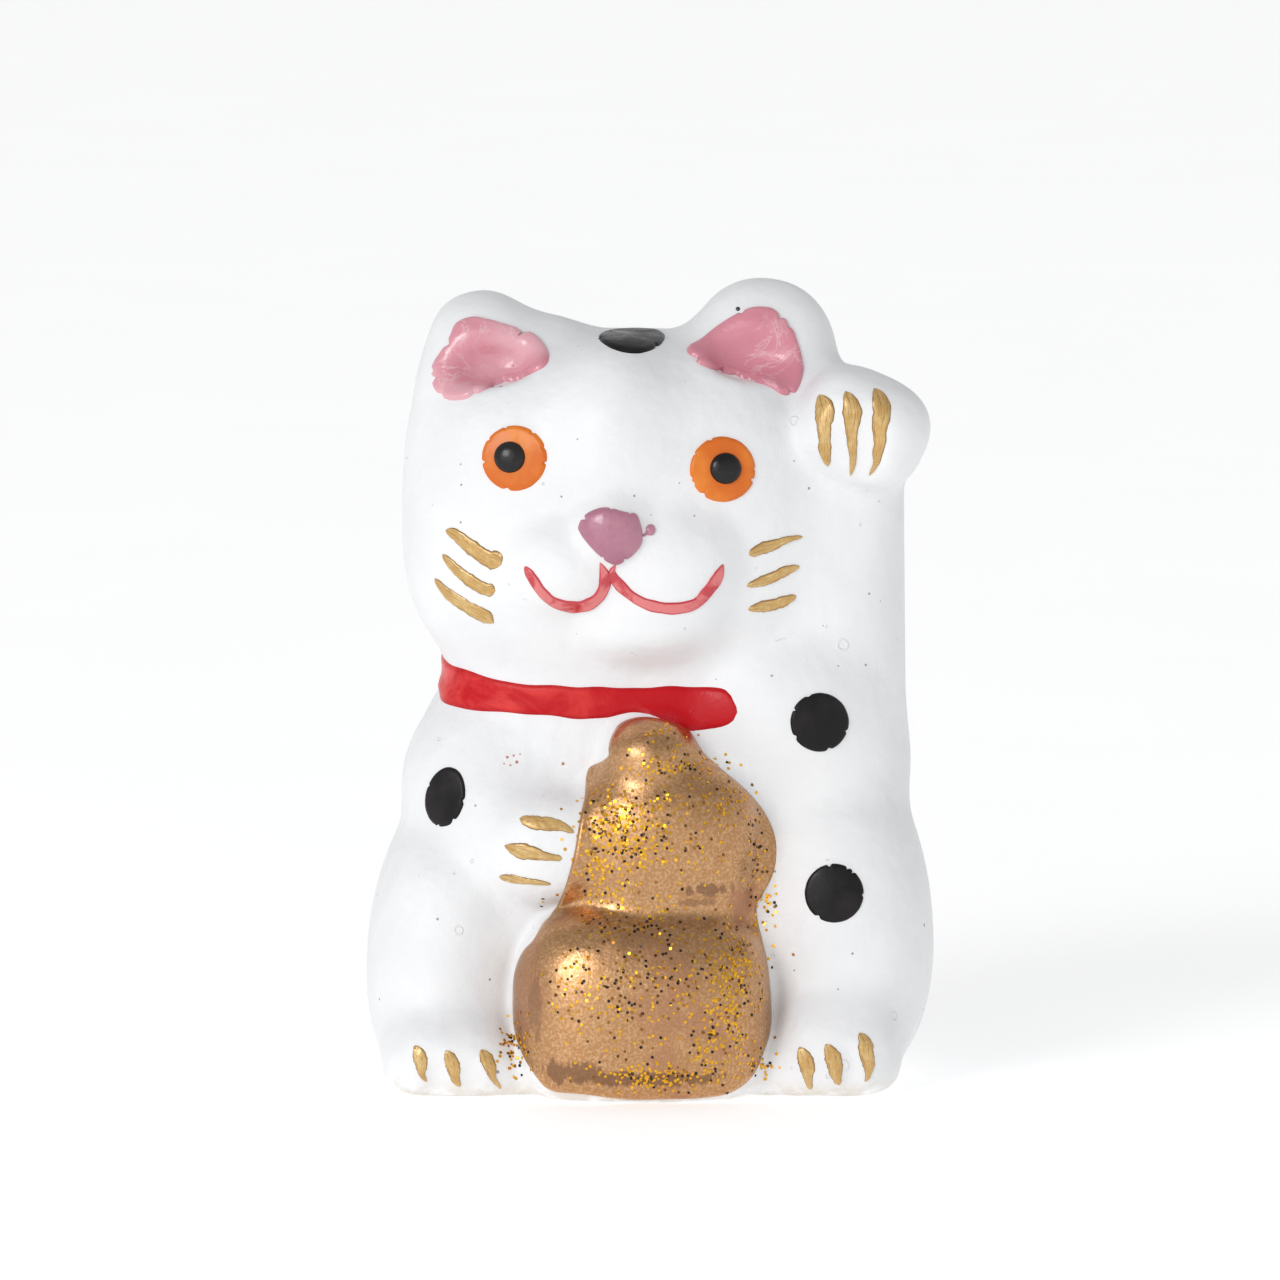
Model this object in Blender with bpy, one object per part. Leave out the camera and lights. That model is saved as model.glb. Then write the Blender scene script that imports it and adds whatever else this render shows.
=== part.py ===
"""Beckoning cat figurine holding a gourd, a hollow casting with hand-painted enamel films.

Units: the numbers below are millimetres and the meshes are made in metres.
Frame: the cat sits on z = 0, +Z is up, its face looks along -Y and +X is its raised paw's side.
"""

import math
from typing import NamedTuple

import bmesh
import bpy
import numpy as np
from mathutils import Matrix, Vector
from mathutils.bvhtree import BVHTree

MM = 0.001

# Casting
BASE_ROUND = 1.3          # rounding between the sides and the flat base
VOXEL = 0.55              # clay blank's grain before it is shaped
BODY_FACES = 5600         # faces left on the outside of the casting
HOLE_RADIUS = 4.6         # drain hole through the base
HOLE_CENTRE = (0.0, 1.0)

# Paint films
GAP = 0.10                # clearance between the casting and a film
FILM = 0.14               # thickness of brushed enamel
COAT = 0.16               # thickness of the gold coat
DROP = 0.38               # height of a pupil, a domed drop of thick enamel
EDGE = 0.35               # share of its thickness a film keeps at its rim
IRIS_RADIUS = 2.05
PUPIL_RADIUS = 0.95
SPOT_RADIUS = 1.85
CLAW_WIDTH = 0.85
WHISKER_WIDTH = 0.95
MOUTH_WIDTH = 0.6
COLLAR_WIDTH = 2.2
CENTRING = (0.0, 1.85, 0.0)            # last move, to stand the cat over the origin
DRAWING_TILT = math.radians(7.0)   # face and feet are drawn as seen from slightly above


class Mass(NamedTuple):
    """A rounded clay mass, an ellipsoid squared off by its power."""

    centre: tuple
    radii: tuple
    blend: float
    power: float = 2.0
    turn: tuple = (0.0, 0.0, 0.0)
    cuts: bool = False


class Limb(NamedTuple):
    """A tapering round bar of clay between two points."""

    start: tuple
    end: tuple
    radii: tuple
    blend: float
    cuts: bool = False


CLAY = [
    # hips, chest and head
    Mass((-0.4, 1.0, 7.2), (16.4, 10.0, 12.4), 0.1, 2.6),
    Mass((0.3, 1.2, 17.9), (15.3, 9.0, 9.8), 2.5, 2.8),
    Mass((-1.75, 0.6, 35.6), (13.9, 9.8, 11.6), 3.6, 2.75),
    # thighs
    Mass((-12.6, -2.4, 8.2), (5.1, 7.6, 9.4), 2.4, 2.2, (0, 6, 0)),
    Mass((12.1, -2.4, 9.8), (5.9, 7.8, 10.2), 2.4, 2.2, (0, -4, 0)),
    # feet and the low rim of clay beside the gourd
    Mass((-12.3, -8.2, 1.7), (4.4, 4.1, 3.4), 2.2, 2.5),
    Mass((11.6, -8.2, 2.1), (4.2, 4.1, 4.3), 2.2, 2.3),
    Mass((-8.4, -6.8, 0.4), (4.4, 4.4, 3.0), 1.6, 2.4),
    Mass((7.8, -6.8, 0.4), (4.0, 4.6, 3.4), 1.6, 2.4),
    # resting arm and its paw
    Limb((-11.0, -2.6, 18.9), (-7.6, -7.0, 15.6), (4.5, 3.4), 1.8),
    Mass((-5.6, -8.6, 15.4), (3.8, 2.8, 3.3), 1.4, 2.4),
    # raised arm, its shoulder and the folded paw
    Limb((11.4, -1.4, 21.0), (11.9, -1.0, 39.5), (4.9, 4.2), 2.6),
    Mass((8.4, -5.0, 23.6), (4.6, 3.6, 3.8), 2.6),
    Mass((13.4, -4.2, 41.5), (4.2, 4.4, 3.5), 1.5, 2.6, (0, 24, 0)),
    # ears
    Mass((-8.0, 0.3, 43.4), (4.9, 4.3, 4.9), 2.0, 2.3),
    Mass((-10.35, 0.3, 45.4), (3.4, 3.9, 4.3), 1.6, 2.3, (0, -14, 0)),
    Mass((-10.9, 0.4, 42.2), (3.7, 4.6, 4.6), 2.0, 2.4),
    Mass((6.9, 0.3, 44.0), (5.0, 4.3, 6.5), 2.0, 2.2, (0, 8, 0)),
    # ear hollows
    Mass((-10.1, -5.3, 45.9), (3.0, 2.3, 1.7), 0.8, 2.3, (-24, 0, 6), True),
    Mass((6.6, -5.3, 46.4), (3.0, 2.3, 1.8), 0.8, 2.3, (-24, 0, -6), True),
    # forehead, muzzle pads, nose and chin
    Mass((-2.2, -5.2, 40.2), (4.4, 4.9, 6.4), 2.2),
    Mass((-5.2, -8.2, 33.3), (3.5, 2.6, 3.0), 1.6),
    Mass((1.4, -8.2, 33.3), (4.0, 2.6, 3.4), 1.6),
    Mass((-2.35, -9.5, 35.7), (2.1, 1.9, 2.1), 1.2),
    Mass((0.2, -7.4, 29.6), (4.4, 2.8, 2.2), 1.6, 2.0, (0, -8, 0)),
    # gourd: lower bulb, neck, upper bulb with a lobe beside it, and knob
    Mass((-0.45, -7.0, 4.4), (8.1, 7.5, 7.8), 0.8, 3.0),
    Mass((0.3, -5.6, 11.8), (6.1, 5.9, 3.4), 1.2, 2.4),
    Mass((1.1, -6.4, 15.7), (5.8, 5.8, 5.5), 1.2, 2.6),
    Mass((6.1, -5.4, 14.4), (2.1, 3.7, 4.0), 0.4, 2.2),
    Mass((0.1, -8.2, 21.1), (2.8, 3.0, 2.4), 1.3),
]

HOLLOW = [
    Mass((-0.3, 1.4, 10.6), (12.4, 6.8, 7.8), 0.1, 2.8),
    Mass((0.2, 1.5, 20.5), (11.2, 6.0, 9.2), 3.0, 2.8),
    Mass((-1.7, 1.0, 35.2), (10.4, 6.4, 9.6), 3.0, 2.8),
]


def clear_scene():
    """Remove every object of the start file."""
    for thing in list(bpy.data.objects):
        bpy.data.objects.remove(thing)


def finish(name, colour, roughness, metallic=0.0, coat=0.0):
    """Return a plain paint or clay material."""
    material = bpy.data.materials.new(name)
    material.use_nodes = True
    shader = material.node_tree.nodes["Principled BSDF"]
    shader.inputs["Base Color"].default_value = (*colour, 1.0)
    shader.inputs["Roughness"].default_value = roughness
    shader.inputs["Metallic"].default_value = metallic
    shader.inputs["Coat Weight"].default_value = coat
    material.diffuse_color = (*colour, 1.0)
    return material


# Distances --------------------------------------------------------------------------------


def turned(degrees):
    """Return the 3 x 3 rotation for turns about X, Y and then Z."""
    ax, ay, az = np.radians(degrees)
    about_x = np.array([[1, 0, 0], [0, np.cos(ax), -np.sin(ax)], [0, np.sin(ax), np.cos(ax)]])
    about_y = np.array([[np.cos(ay), 0, np.sin(ay)], [0, 1, 0], [-np.sin(ay), 0, np.cos(ay)]])
    about_z = np.array([[np.cos(az), -np.sin(az), 0], [np.sin(az), np.cos(az), 0], [0, 0, 1]])
    return about_z @ about_y @ about_x


def mass_distance(points, mass):
    """Return how far points lie outside a mass, nearly in millimetres."""
    radii = np.array(mass.radii, float)
    local = (points - np.array(mass.centre)) @ turned(mass.turn) / radii
    size = np.abs(local) + 1e-9
    reach = (size ** mass.power).sum(axis=1) ** (1.0 / mass.power)
    slope = (size / reach[:, None]) ** (mass.power - 1.0) / radii
    return (reach - 1.0) / np.sqrt((slope * slope).sum(axis=1))


def limb_distance(points, limb):
    """Return how far points lie outside a limb."""
    start = np.array(limb.start, float)
    along = np.array(limb.end, float) - start
    share = np.clip((points - start) @ along / (along @ along), 0.0, 1.0)
    radius = limb.radii[0] + (limb.radii[1] - limb.radii[0]) * share
    return np.linalg.norm(points - start - share[:, None] * along, axis=1) - radius


def joined(first, second, blend):
    """Unite two distances with a fillet."""
    overlap = np.maximum(blend - np.abs(first - second), 0.0) / blend
    return np.minimum(first, second) - overlap * overlap * blend / 4.0


def clay_distance(points, shapes, flat_base):
    """Return the distance to the whole blended form, standing on z = 0 if it has a base."""
    total = np.full(len(points), 1e3)
    for shape in shapes:
        measure = limb_distance if isinstance(shape, Limb) else mass_distance
        part = measure(points, shape)
        if shape.cuts:
            total = -joined(-total, part, shape.blend)
        else:
            total = joined(total, part, shape.blend)
    if flat_base:
        total = -joined(-total, points[:, 2], BASE_ROUND)
    return total


def clay_slope(points, shapes, flat_base):
    """Return the gradient of the blended distance."""
    slope = np.zeros_like(points)
    for axis in range(3):
        step = np.zeros(3)
        step[axis] = 0.02
        ahead = clay_distance(points + step, shapes, flat_base)
        behind = clay_distance(points - step, shapes, flat_base)
        slope[:, axis] = (ahead - behind) / 0.04
    return slope


# Casting ----------------------------------------------------------------------------------


def add_mass(mesh, mass):
    """Add one squared ellipsoid to the blank."""
    made = bmesh.ops.create_uvsphere(mesh, u_segments=32, v_segments=20, radius=1.0)
    spin = turned(mass.turn)
    for vertex in made["verts"]:
        ray = np.array(vertex.co)
        ray = ray / (np.abs(ray) ** mass.power).sum() ** (1.0 / mass.power)
        place = spin @ (ray * np.array(mass.radii)) + np.array(mass.centre)
        vertex.co = Vector(place) * MM


def add_limb(mesh, limb):
    """Add one tapering bar, the hull of a ball at each end."""
    balls = []
    for centre, radius in zip((limb.start, limb.end), limb.radii):
        made = bmesh.ops.create_uvsphere(mesh, u_segments=24, v_segments=14, radius=radius * MM)
        bmesh.ops.translate(mesh, verts=made["verts"], vec=Vector(centre) * MM)
        balls += made["verts"]
    hull = bmesh.ops.convex_hull(mesh, input=balls)
    inside = [item for item in hull["geom_interior"] if isinstance(item, bmesh.types.BMVert)]
    bmesh.ops.delete(mesh, geom=inside, context="VERTS")


def blank(name, shapes):
    """Return the rough lump: every solid shape pushed together."""
    mesh = bmesh.new()
    for shape in shapes:
        if shape.cuts:
            continue
        if isinstance(shape, Limb):
            add_limb(mesh, shape)
        else:
            add_mass(mesh, shape)
    return add_object(name, mesh)


def add_object(name, mesh):
    """Turn a bmesh into an object of that name."""
    data = bpy.data.meshes.new(name)
    mesh.to_mesh(data)
    mesh.free()
    thing = bpy.data.objects.new(name, data)
    bpy.context.scene.collection.objects.link(thing)
    return thing


def apply_modifiers(thing):
    """Make the object's modifiers part of its mesh."""
    graph = bpy.context.evaluated_depsgraph_get()
    graph.update()
    data = bpy.data.meshes.new_from_object(thing.evaluated_get(graph))
    thing.modifiers.clear()
    thing.data = data


def remesh(thing, size):
    """Rebuild the lump as one even skin."""
    modifier = thing.modifiers.new("even_skin", "REMESH")
    modifier.mode = "VOXEL"
    modifier.voxel_size = size * MM
    modifier.use_smooth_shade = True
    apply_modifiers(thing)


def relax(thing, rounds):
    """Even out the spacing of the skin's points."""
    modifier = thing.modifiers.new("relax", "SMOOTH")
    modifier.factor = 0.5
    modifier.iterations = rounds
    apply_modifiers(thing)


def settle(thing, shapes, flat_base, rounds):
    """Move every point on to the blended form."""
    count = len(thing.data.vertices)
    flat = np.empty(count * 3)
    thing.data.vertices.foreach_get("co", flat)
    points = flat.reshape(-1, 3) / MM
    for _ in range(rounds):
        far = np.clip(clay_distance(points, shapes, flat_base), -0.8, 0.8)
        slope = clay_slope(points, shapes, flat_base)
        points = points - far[:, None] * slope / (slope * slope).sum(axis=1)[:, None]
    if flat_base:
        points[np.abs(points[:, 2]) < 0.01, 2] = 0.0
    thing.data.vertices.foreach_set("co", (points * MM).ravel())
    thing.data.update()


def level_base(thing):
    """Set the points of the base exactly on z = 0."""
    for vertex in thing.data.vertices:
        if vertex.co.z < 0.06 * MM:
            vertex.co.z = 0.0


def thin_out(thing, faces):
    """Reduce the skin to about a number of triangles."""
    modifier = thing.modifiers.new("thin_out", "DECIMATE")
    modifier.ratio = faces / (2.0 * len(thing.data.polygons))
    apply_modifiers(thing)


def model(name, shapes, flat_base, voxel, faces):
    """Return the smooth blended form of some shapes."""
    thing = blank(name, shapes)
    remesh(thing, voxel)
    settle(thing, shapes, flat_base, 3)
    relax(thing, 2)
    settle(thing, shapes, flat_base, 3)
    thin_out(thing, faces)
    return thing


def carve(thing, tool):
    """Cut a tool's shape out of an object."""
    modifier = thing.modifiers.new("carve", "BOOLEAN")
    modifier.operation = "DIFFERENCE"
    modifier.solver = "EXACT"
    modifier.object = tool
    apply_modifiers(thing)
    bpy.data.objects.remove(tool)


def drill_tool():
    """Return the round bar that opens the drain hole."""
    mesh = bmesh.new()
    bmesh.ops.create_cone(mesh, cap_ends=True, segments=40, radius1=HOLE_RADIUS * MM,
                          radius2=HOLE_RADIUS * MM, depth=9.0 * MM)
    bmesh.ops.translate(mesh, verts=mesh.verts, vec=Vector((*HOLE_CENTRE, 1.5)) * MM)
    return add_object("drill", mesh)


def make_casting(clay):
    """Return the hollow body and the tree that films are laid on."""
    body = model("cast_body", CLAY, True, VOXEL, BODY_FACES)
    level_base(body)
    tree = BVHTree.FromPolygons([v.co.copy() for v in body.data.vertices],
                                [tuple(f.vertices) for f in body.data.polygons])
    carve(body, model("hollow", HOLLOW, False, 1.2, 700))
    carve(body, drill_tool())
    body.data.materials.clear()
    body.data.materials.append(clay)
    body.data.shade_smooth()
    body.data.set_sharp_from_angle(angle=math.radians(55.0))
    return body, tree


# Films ------------------------------------------------------------------------------------


def smooth_loop(corners, count):
    """Return evenly spaced points on the smooth closed curve through some corners."""
    corners = np.array(corners, float)
    before = np.roll(corners, 1, axis=0)
    after = np.roll(corners, -1, axis=0)
    later = np.roll(corners, -2, axis=0)
    steps = np.linspace(0.0, 1.0, 12, endpoint=False)[:, None, None]
    curve = 0.5 * (2 * corners + (after - before) * steps
                   + (2 * before - 5 * corners + 4 * after - later) * steps ** 2
                   + (3 * corners - before - 3 * after + later) * steps ** 3)
    dense = curve.transpose(1, 0, 2).reshape(-1, 2)
    return spaced(np.vstack([dense, dense[:1]]), np.arange(count) / count)


def smooth_path(corners, shares):
    """Return points at given shares of the smooth open curve through some corners."""
    corners = np.array(corners, float)
    padded = np.vstack([2 * corners[0] - corners[1], corners, 2 * corners[-1] - corners[-2]])
    pieces = []
    for before, here, after, later in zip(padded, padded[1:], padded[2:], padded[3:]):
        steps = np.linspace(0.0, 1.0, 12, endpoint=False)[:, None]
        pieces.append(0.5 * (2 * here + (after - before) * steps
                             + (2 * before - 5 * here + 4 * after - later) * steps ** 2
                             + (3 * here - before - 3 * after + later) * steps ** 3))
    return spaced(np.vstack(pieces + [corners[-1:]]), shares)


def spaced(dense, shares):
    """Return the points at given shares of a fine polyline's length."""
    lengths = np.concatenate([[0.0], np.cumsum(np.linalg.norm(np.diff(dense, axis=0), axis=1))])
    stops = np.array(shares) * lengths[-1]
    return np.column_stack([np.interp(stops, lengths, dense[:, k]) for k in range(dense.shape[1])])


class Patch(NamedTuple):
    """A flat drawing of a film: points, faces, height share of each point and rim order."""

    points: np.ndarray
    faces: list
    heights: np.ndarray
    rim: list


def dab(corners, around=28, rings=5, domed=False):
    """Return a filled spot of paint inside a closed outline."""
    loop = smooth_loop(corners, around)
    centre = loop.mean(axis=0)
    points = [centre]
    heights = [1.0]
    for ring in range(1, rings + 1):
        share = (ring / rings) ** 0.8
        height = math.sqrt(max(1.0 - share * share, 0.0)) if domed else 1.0
        if ring == rings:
            height = 0.08 if domed else EDGE
        points += [centre + (corner - centre) * share for corner in loop]
        heights += [height] * around
    faces = [(0, 1 + k, 1 + (k + 1) % around) for k in range(around)]
    for ring in range(rings - 1):
        low = 1 + ring * around
        for k in range(around):
            after = (k + 1) % around
            faces.append((low + k, low + around + k, low + around + after, low + after))
    rim = [1 + (rings - 1) * around + k for k in range(around)]
    return Patch(np.array(points), faces, np.array(heights), rim)


def stroke(path, width, count=12, across=4, tips=(0.35, 0.35), ends=0.25):
    """Return a brush stroke along a path, rounded off over a share of its length at its ends."""
    cap = ends * np.array([0.0, 0.12, 0.4])
    share = np.concatenate([cap, np.linspace(ends, 1.0 - ends, count), 1.0 - cap[::-1]])
    count = len(share)
    line = smooth_path(path, share)
    along = np.gradient(line, axis=0)
    side = np.column_stack([-along[:, 1], along[:, 0]])
    side /= np.linalg.norm(side, axis=1)[:, None]
    near = np.clip(np.minimum(share, 1.0 - share) / ends, 0.0, 1.0)
    narrow = np.where(share < 0.5, tips[0], tips[1])
    widths = (narrow + (1.0 - narrow) * np.sqrt(1.0 - (1.0 - near) ** 2)) * width / 2
    points = []
    heights = []
    for k in range(count):
        for step in np.linspace(-1.0, 1.0, across + 1):
            points.append(line[k] + side[k] * widths[k] * step)
            rim = k in (0, count - 1) or abs(step) > 0.99
            heights.append(EDGE if rim else 1.0)
    row = across + 1
    faces = [(k * row + j, k * row + j + 1, (k + 1) * row + j + 1, (k + 1) * row + j)
             for k in range(count - 1) for j in range(across)]
    rim = list(range(row)) + [k * row + across for k in range(1, count)]
    rim += [(count - 1) * row + j for j in range(across - 1, -1, -1)]
    rim += [k * row for k in range(count - 2, 0, -1)]
    return Patch(np.array(points), faces, np.array(heights), rim)


def circle(centre, radius, stretch=1.0, lean=0.0):
    """Return eight points of a circle or a leaning ellipse, stretched along its height."""
    lean = math.radians(lean)
    loop = []
    for k in range(8):
        angle = k * math.pi / 4
        wide = radius * math.cos(angle)
        tall = radius * stretch * math.sin(angle)
        loop.append((centre[0] + wide * math.cos(lean) + tall * math.sin(lean),
                     centre[1] - wide * math.sin(lean) + tall * math.cos(lean)))
    return loop


class Side(NamedTuple):
    """A direction to lay a drawing from: its right, its up and the way inwards."""

    right: tuple
    up: tuple
    inward: tuple


FRONT = Side((1, 0, 0), (0, math.sin(DRAWING_TILT), math.cos(DRAWING_TILT)),
             (0, math.cos(DRAWING_TILT), -math.sin(DRAWING_TILT)))
TOP = Side((1, 0, 0), (0, 1, 0), (0, 0, -1))
BACK = Side((-1, 0, 0), (0, 0, 1), (0, -1, 0))


def lay_flat(points, side, tree):
    """Return the places where a drawing's points meet the body."""
    places = []
    for across, height in points:
        start = Vector(side.right) * across + Vector(side.up) * height - Vector(side.inward) * 60.0
        hit = tree.ray_cast(start * MM, Vector(side.inward))[0]
        places.append(np.array(hit) / MM)
    return np.array(places)


def lay_round(points, tree):
    """Return the places of points given as turns about the neck and heights."""
    places = []
    for turn, height in points:
        angle = math.radians(turn)
        outward = Vector((math.sin(angle), -math.cos(angle), 0.0))
        start = Vector((-1.0, 1.0, height)) + outward * 60.0
        hit = tree.ray_cast(start * MM, -outward)[0]
        places.append(np.array(hit) / MM)
    return np.array(places)


def film(name, patch, places, paint, thickness, lift=0.0):
    """Return the closed solid of a film lying just off the body."""
    slope = clay_slope(places, CLAY, False)
    outward = slope / np.linalg.norm(slope, axis=1)[:, None]
    under = places + outward * (GAP + lift)
    over = under + outward * (thickness * patch.heights)[:, None]
    mesh = bmesh.new()
    low = [mesh.verts.new(Vector(place) * MM) for place in under]
    high = [mesh.verts.new(Vector(place) * MM) for place in over]
    for face in patch.faces:
        mesh.faces.new([high[k] for k in face])
        mesh.faces.new([low[k] for k in reversed(face)])
    for here, after in zip(patch.rim, patch.rim[1:] + patch.rim[:1]):
        mesh.faces.new((low[here], low[after], high[after], high[here]))
    bmesh.ops.recalc_face_normals(mesh, faces=mesh.faces)
    thing = add_object(name, mesh)
    thing.data.materials.append(paint)
    thing.data.shade_smooth()
    thing.data.set_sharp_from_angle(angle=math.radians(50.0))
    return thing


# Painting ---------------------------------------------------------------------------------

EAR_LEFT = [(-12.1, 47.2), (-10.9, 47.5), (-8.4, 46.9), (-6.4, 45.6), (-6.8, 44.1), (-9.5, 43.3),
            (-11.3, 42.4), (-12.6, 42.3), (-13.7, 43.6), (-13.1, 45.5)]
EAR_RIGHT = [(2.4, 45.4), (3.4, 46.3), (4.9, 47.3), (6.2, 48.1), (7.6, 48.2), (8.8, 47.1),
             (9.6, 45.1), (9.5, 43.0), (8.2, 42.7), (5.8, 43.7), (3.2, 44.5)]
NOSE = [(-4.4, 34.3), (-3.8, 35.1), (-2.4, 35.4), (-0.8, 35.1), (-0.4, 33.6), (-1.3, 32.3),
        (-2.0, 31.95), (-3.1, 32.5), (-4.1, 33.6)]
MOUTH = {
    "mouth_left": [(-7.7, 31.8), (-6.6, 30.1), (-5.1, 29.3), (-3.6, 29.7), (-2.85, 30.8),
                   (-2.8, 32.1)],
    "mouth_right": [(-2.0, 31.9), (-1.7, 30.7), (-0.4, 29.6), (1.2, 29.2), (2.9, 29.6),
                    (4.1, 30.8), (4.65, 32.2)],
}
WHISKERS = {
    "whisker_left_upper": [(-12.7, 34.2), (-11.0, 33.1), (-9.3, 31.8)],
    "whisker_left_middle": [(-13.0, 32.7), (-11.3, 31.0), (-9.6, 30.2)],
    "whisker_left_lower": [(-13.4, 31.1), (-11.8, 29.5), (-9.7, 28.4)],
    "whisker_right_upper": [(6.2, 32.6), (7.8, 33.2), (9.7, 33.8)],
    "whisker_right_middle": [(6.1, 30.7), (7.8, 31.2), (9.5, 31.9)],
    "whisker_right_lower": [(6.3, 29.1), (7.7, 29.4), (9.3, 30.0)],
}
CLAWS = {
    "claw_raised_inner": [(10.5, 42.6), (10.9, 41.0), (11.2, 38.2)],
    "claw_raised_middle": [(12.2, 42.7), (12.8, 40.4), (12.6, 37.7)],
    "claw_raised_outer": [(14.1, 42.9), (14.5, 40.6), (13.8, 37.7)],
    "claw_resting_upper": [(-8.1, 16.2), (-6.6, 15.8), (-4.8, 15.3)],
    "claw_resting_middle": [(-9.0, 14.5), (-7.2, 13.9), (-5.4, 13.6)],
    "claw_resting_lower": [(-9.4, 12.5), (-7.6, 12.2), (-6.1, 12.0)],
    "claw_left_foot_outer": [(-14.6, 1.8), (-14.3, 0.6), (-13.9, -0.3)],
    "claw_left_foot_middle": [(-12.7, 1.7), (-12.3, 0.5), (-11.9, -0.5)],
    "claw_left_foot_inner": [(-10.6, 1.7), (-9.9, 0.5), (-9.6, -0.5)],
    "claw_right_foot_inner": [(9.3, 1.8), (9.9, 0.6), (10.1, -0.5)],
    "claw_right_foot_middle": [(11.1, 2.0), (11.6, 0.8), (11.9, -0.4)],
    "claw_right_foot_outer": [(13.3, 2.5), (13.8, 1.2), (13.6, -0.2)],
}
COAT_OUTLINE = [(-1.6, 21.6), (-0.3, 21.9), (1.2, 21.8), (2.4, 21.3), (3.2, 20.3), (5.2, 18.6),
                (7.1, 16.7), (8.0, 14.4), (7.5, 11.8), (6.8, 10.1), (7.2, 8.0), (7.6, 4.2),
                (7.1, 1.3), (5.4, -0.6), (1.2, -1.1), (-3.6, -0.9), (-6.6, -0.2), (-8.1, 2.2),
                (-8.3, 5.9), (-7.4, 8.3), (-6.1, 10.0), (-5.0, 12.8), (-4.1, 17.0),
                (-3.8, 19.1), (-2.7, 19.9), (-2.3, 21.0)]
COLLAR = [(34.0, 24.2), (8.0, 24.5), (-30.0, 24.6), (-60.0, 25.1), (-95.0, 25.5), (-140.0, 25.6),
          (-180.0, 25.6), (-215.0, 25.6)]


def paint_face(tree, paints):
    """Lay on the ear linings, eyes, nose, mouth and whiskers."""
    for name, outline in (("ear_lining_left", EAR_LEFT), ("ear_lining_right", EAR_RIGHT)):
        patch = dab(outline, 28, 6)
        film(name, patch, lay_flat(patch.points, FRONT, tree), paints["pink_enamel"], FILM,
             0.03)
    for side, centre, look in (("left", (-8.4, 38.6), -0.25), ("right", (4.6, 37.9), 0.15)):
        patch = dab(circle(centre, IRIS_RADIUS), 24, 3)
        film("iris_" + side, patch, lay_flat(patch.points, FRONT, tree),
             paints["orange_enamel"], FILM)
        patch = dab(circle((centre[0] + look, centre[1] + 0.05), PUPIL_RADIUS), 18, 4, True)
        film("pupil_" + side, patch, lay_flat(patch.points, FRONT, tree),
             paints["black_enamel"], DROP, FILM + 0.05)
    patch = dab(NOSE, 22, 4)
    film("nose", patch, lay_flat(patch.points, FRONT, tree), paints["pink_enamel"], FILM * 1.5)
    for name, path in MOUTH.items():
        patch = stroke(path, MOUTH_WIDTH, 14, 2, (0.5, 0.5), 0.06)
        film(name, patch, lay_flat(patch.points, FRONT, tree), paints["red_enamel"], FILM)
    for name, path in WHISKERS.items():
        patch = stroke(path, WHISKER_WIDTH, 4, 2, (0.2, 0.2), 0.4)
        film(name, patch, lay_flat(patch.points, FRONT, tree), paints["gold_enamel"], FILM)


def paint_body(tree, paints):
    """Lay on the claws, spots, collar and the gourd's gold coat."""
    for name, path in CLAWS.items():
        patch = stroke(path, CLAW_WIDTH, 4, 2, (0.3, 0.1), 0.4)
        film(name, patch, lay_flat(patch.points, FRONT, tree), paints["gold_enamel"], FILM)
    spots = (("spot_shoulder", circle((-12.8, 17.4), 1.25, 1.5, 12.0), FRONT),
             ("spot_arm", circle((10.7, 22.1), SPOT_RADIUS), FRONT),
             ("spot_thigh", circle((11.6, 11.4), SPOT_RADIUS), FRONT),
             ("spot_head", circle((-1.1, -3.0), 2.05, 1.85, 8.0), TOP),
             ("spot_back_upper", circle((3.5, 19.0), SPOT_RADIUS), BACK),
             ("spot_back_lower", circle((-6.5, 9.5), SPOT_RADIUS), BACK))
    for name, outline, side in spots:
        patch = dab(outline, 22, 3)
        film(name, patch, lay_flat(patch.points, side, tree), paints["black_enamel"], FILM)
    patch = stroke(COLLAR, COLLAR_WIDTH, 56, 4, (0.25, 0.25), 0.005)
    film("collar", patch, lay_round(patch.points, tree), paints["red_enamel"], FILM)
    patch = dab(COAT_OUTLINE, 62, 11)
    film("gourd_coat", patch, lay_flat(patch.points, FRONT, tree), paints["gourd_gold"], COAT,
         0.10)


def main():
    """Build the figurine."""
    clear_scene()
    paints = {
        "pink_enamel": finish("pink_enamel", (0.68, 0.21, 0.29), 0.25, coat=0.5),
        "orange_enamel": finish("orange_enamel", (0.75, 0.18, 0.02), 0.2, coat=0.5),
        "black_enamel": finish("black_enamel", (0.012, 0.011, 0.012), 0.12, coat=0.6),
        "red_enamel": finish("red_enamel", (0.58, 0.01, 0.02), 0.22, coat=0.5),
        "gold_enamel": finish("gold_enamel", (0.6, 0.38, 0.1), 0.4, 0.4),
        "gourd_gold": finish("gourd_gold", (0.56, 0.32, 0.15), 0.32, 0.85),
    }
    clay = finish("white_bisque", (0.86, 0.87, 0.9), 0.6)
    _, tree = make_casting(clay)
    paint_face(tree, paints)
    paint_body(tree, paints)
    for thing in bpy.data.objects:
        thing.data.transform(Matrix.Translation(Vector(CENTRING) * MM))


main()
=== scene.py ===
"""Looks of the hand-painted beckoning cat: cast clay, enamel, a gold gourd, loose glitter and the studio.

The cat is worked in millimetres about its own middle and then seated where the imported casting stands.
"""

import logging
import math
from dataclasses import dataclass, field
from enum import Enum
from typing import Callable, Sequence

import bpy
import numpy as np
from mathutils import Matrix, Vector
from mathutils.bvhtree import BVHTree


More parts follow.
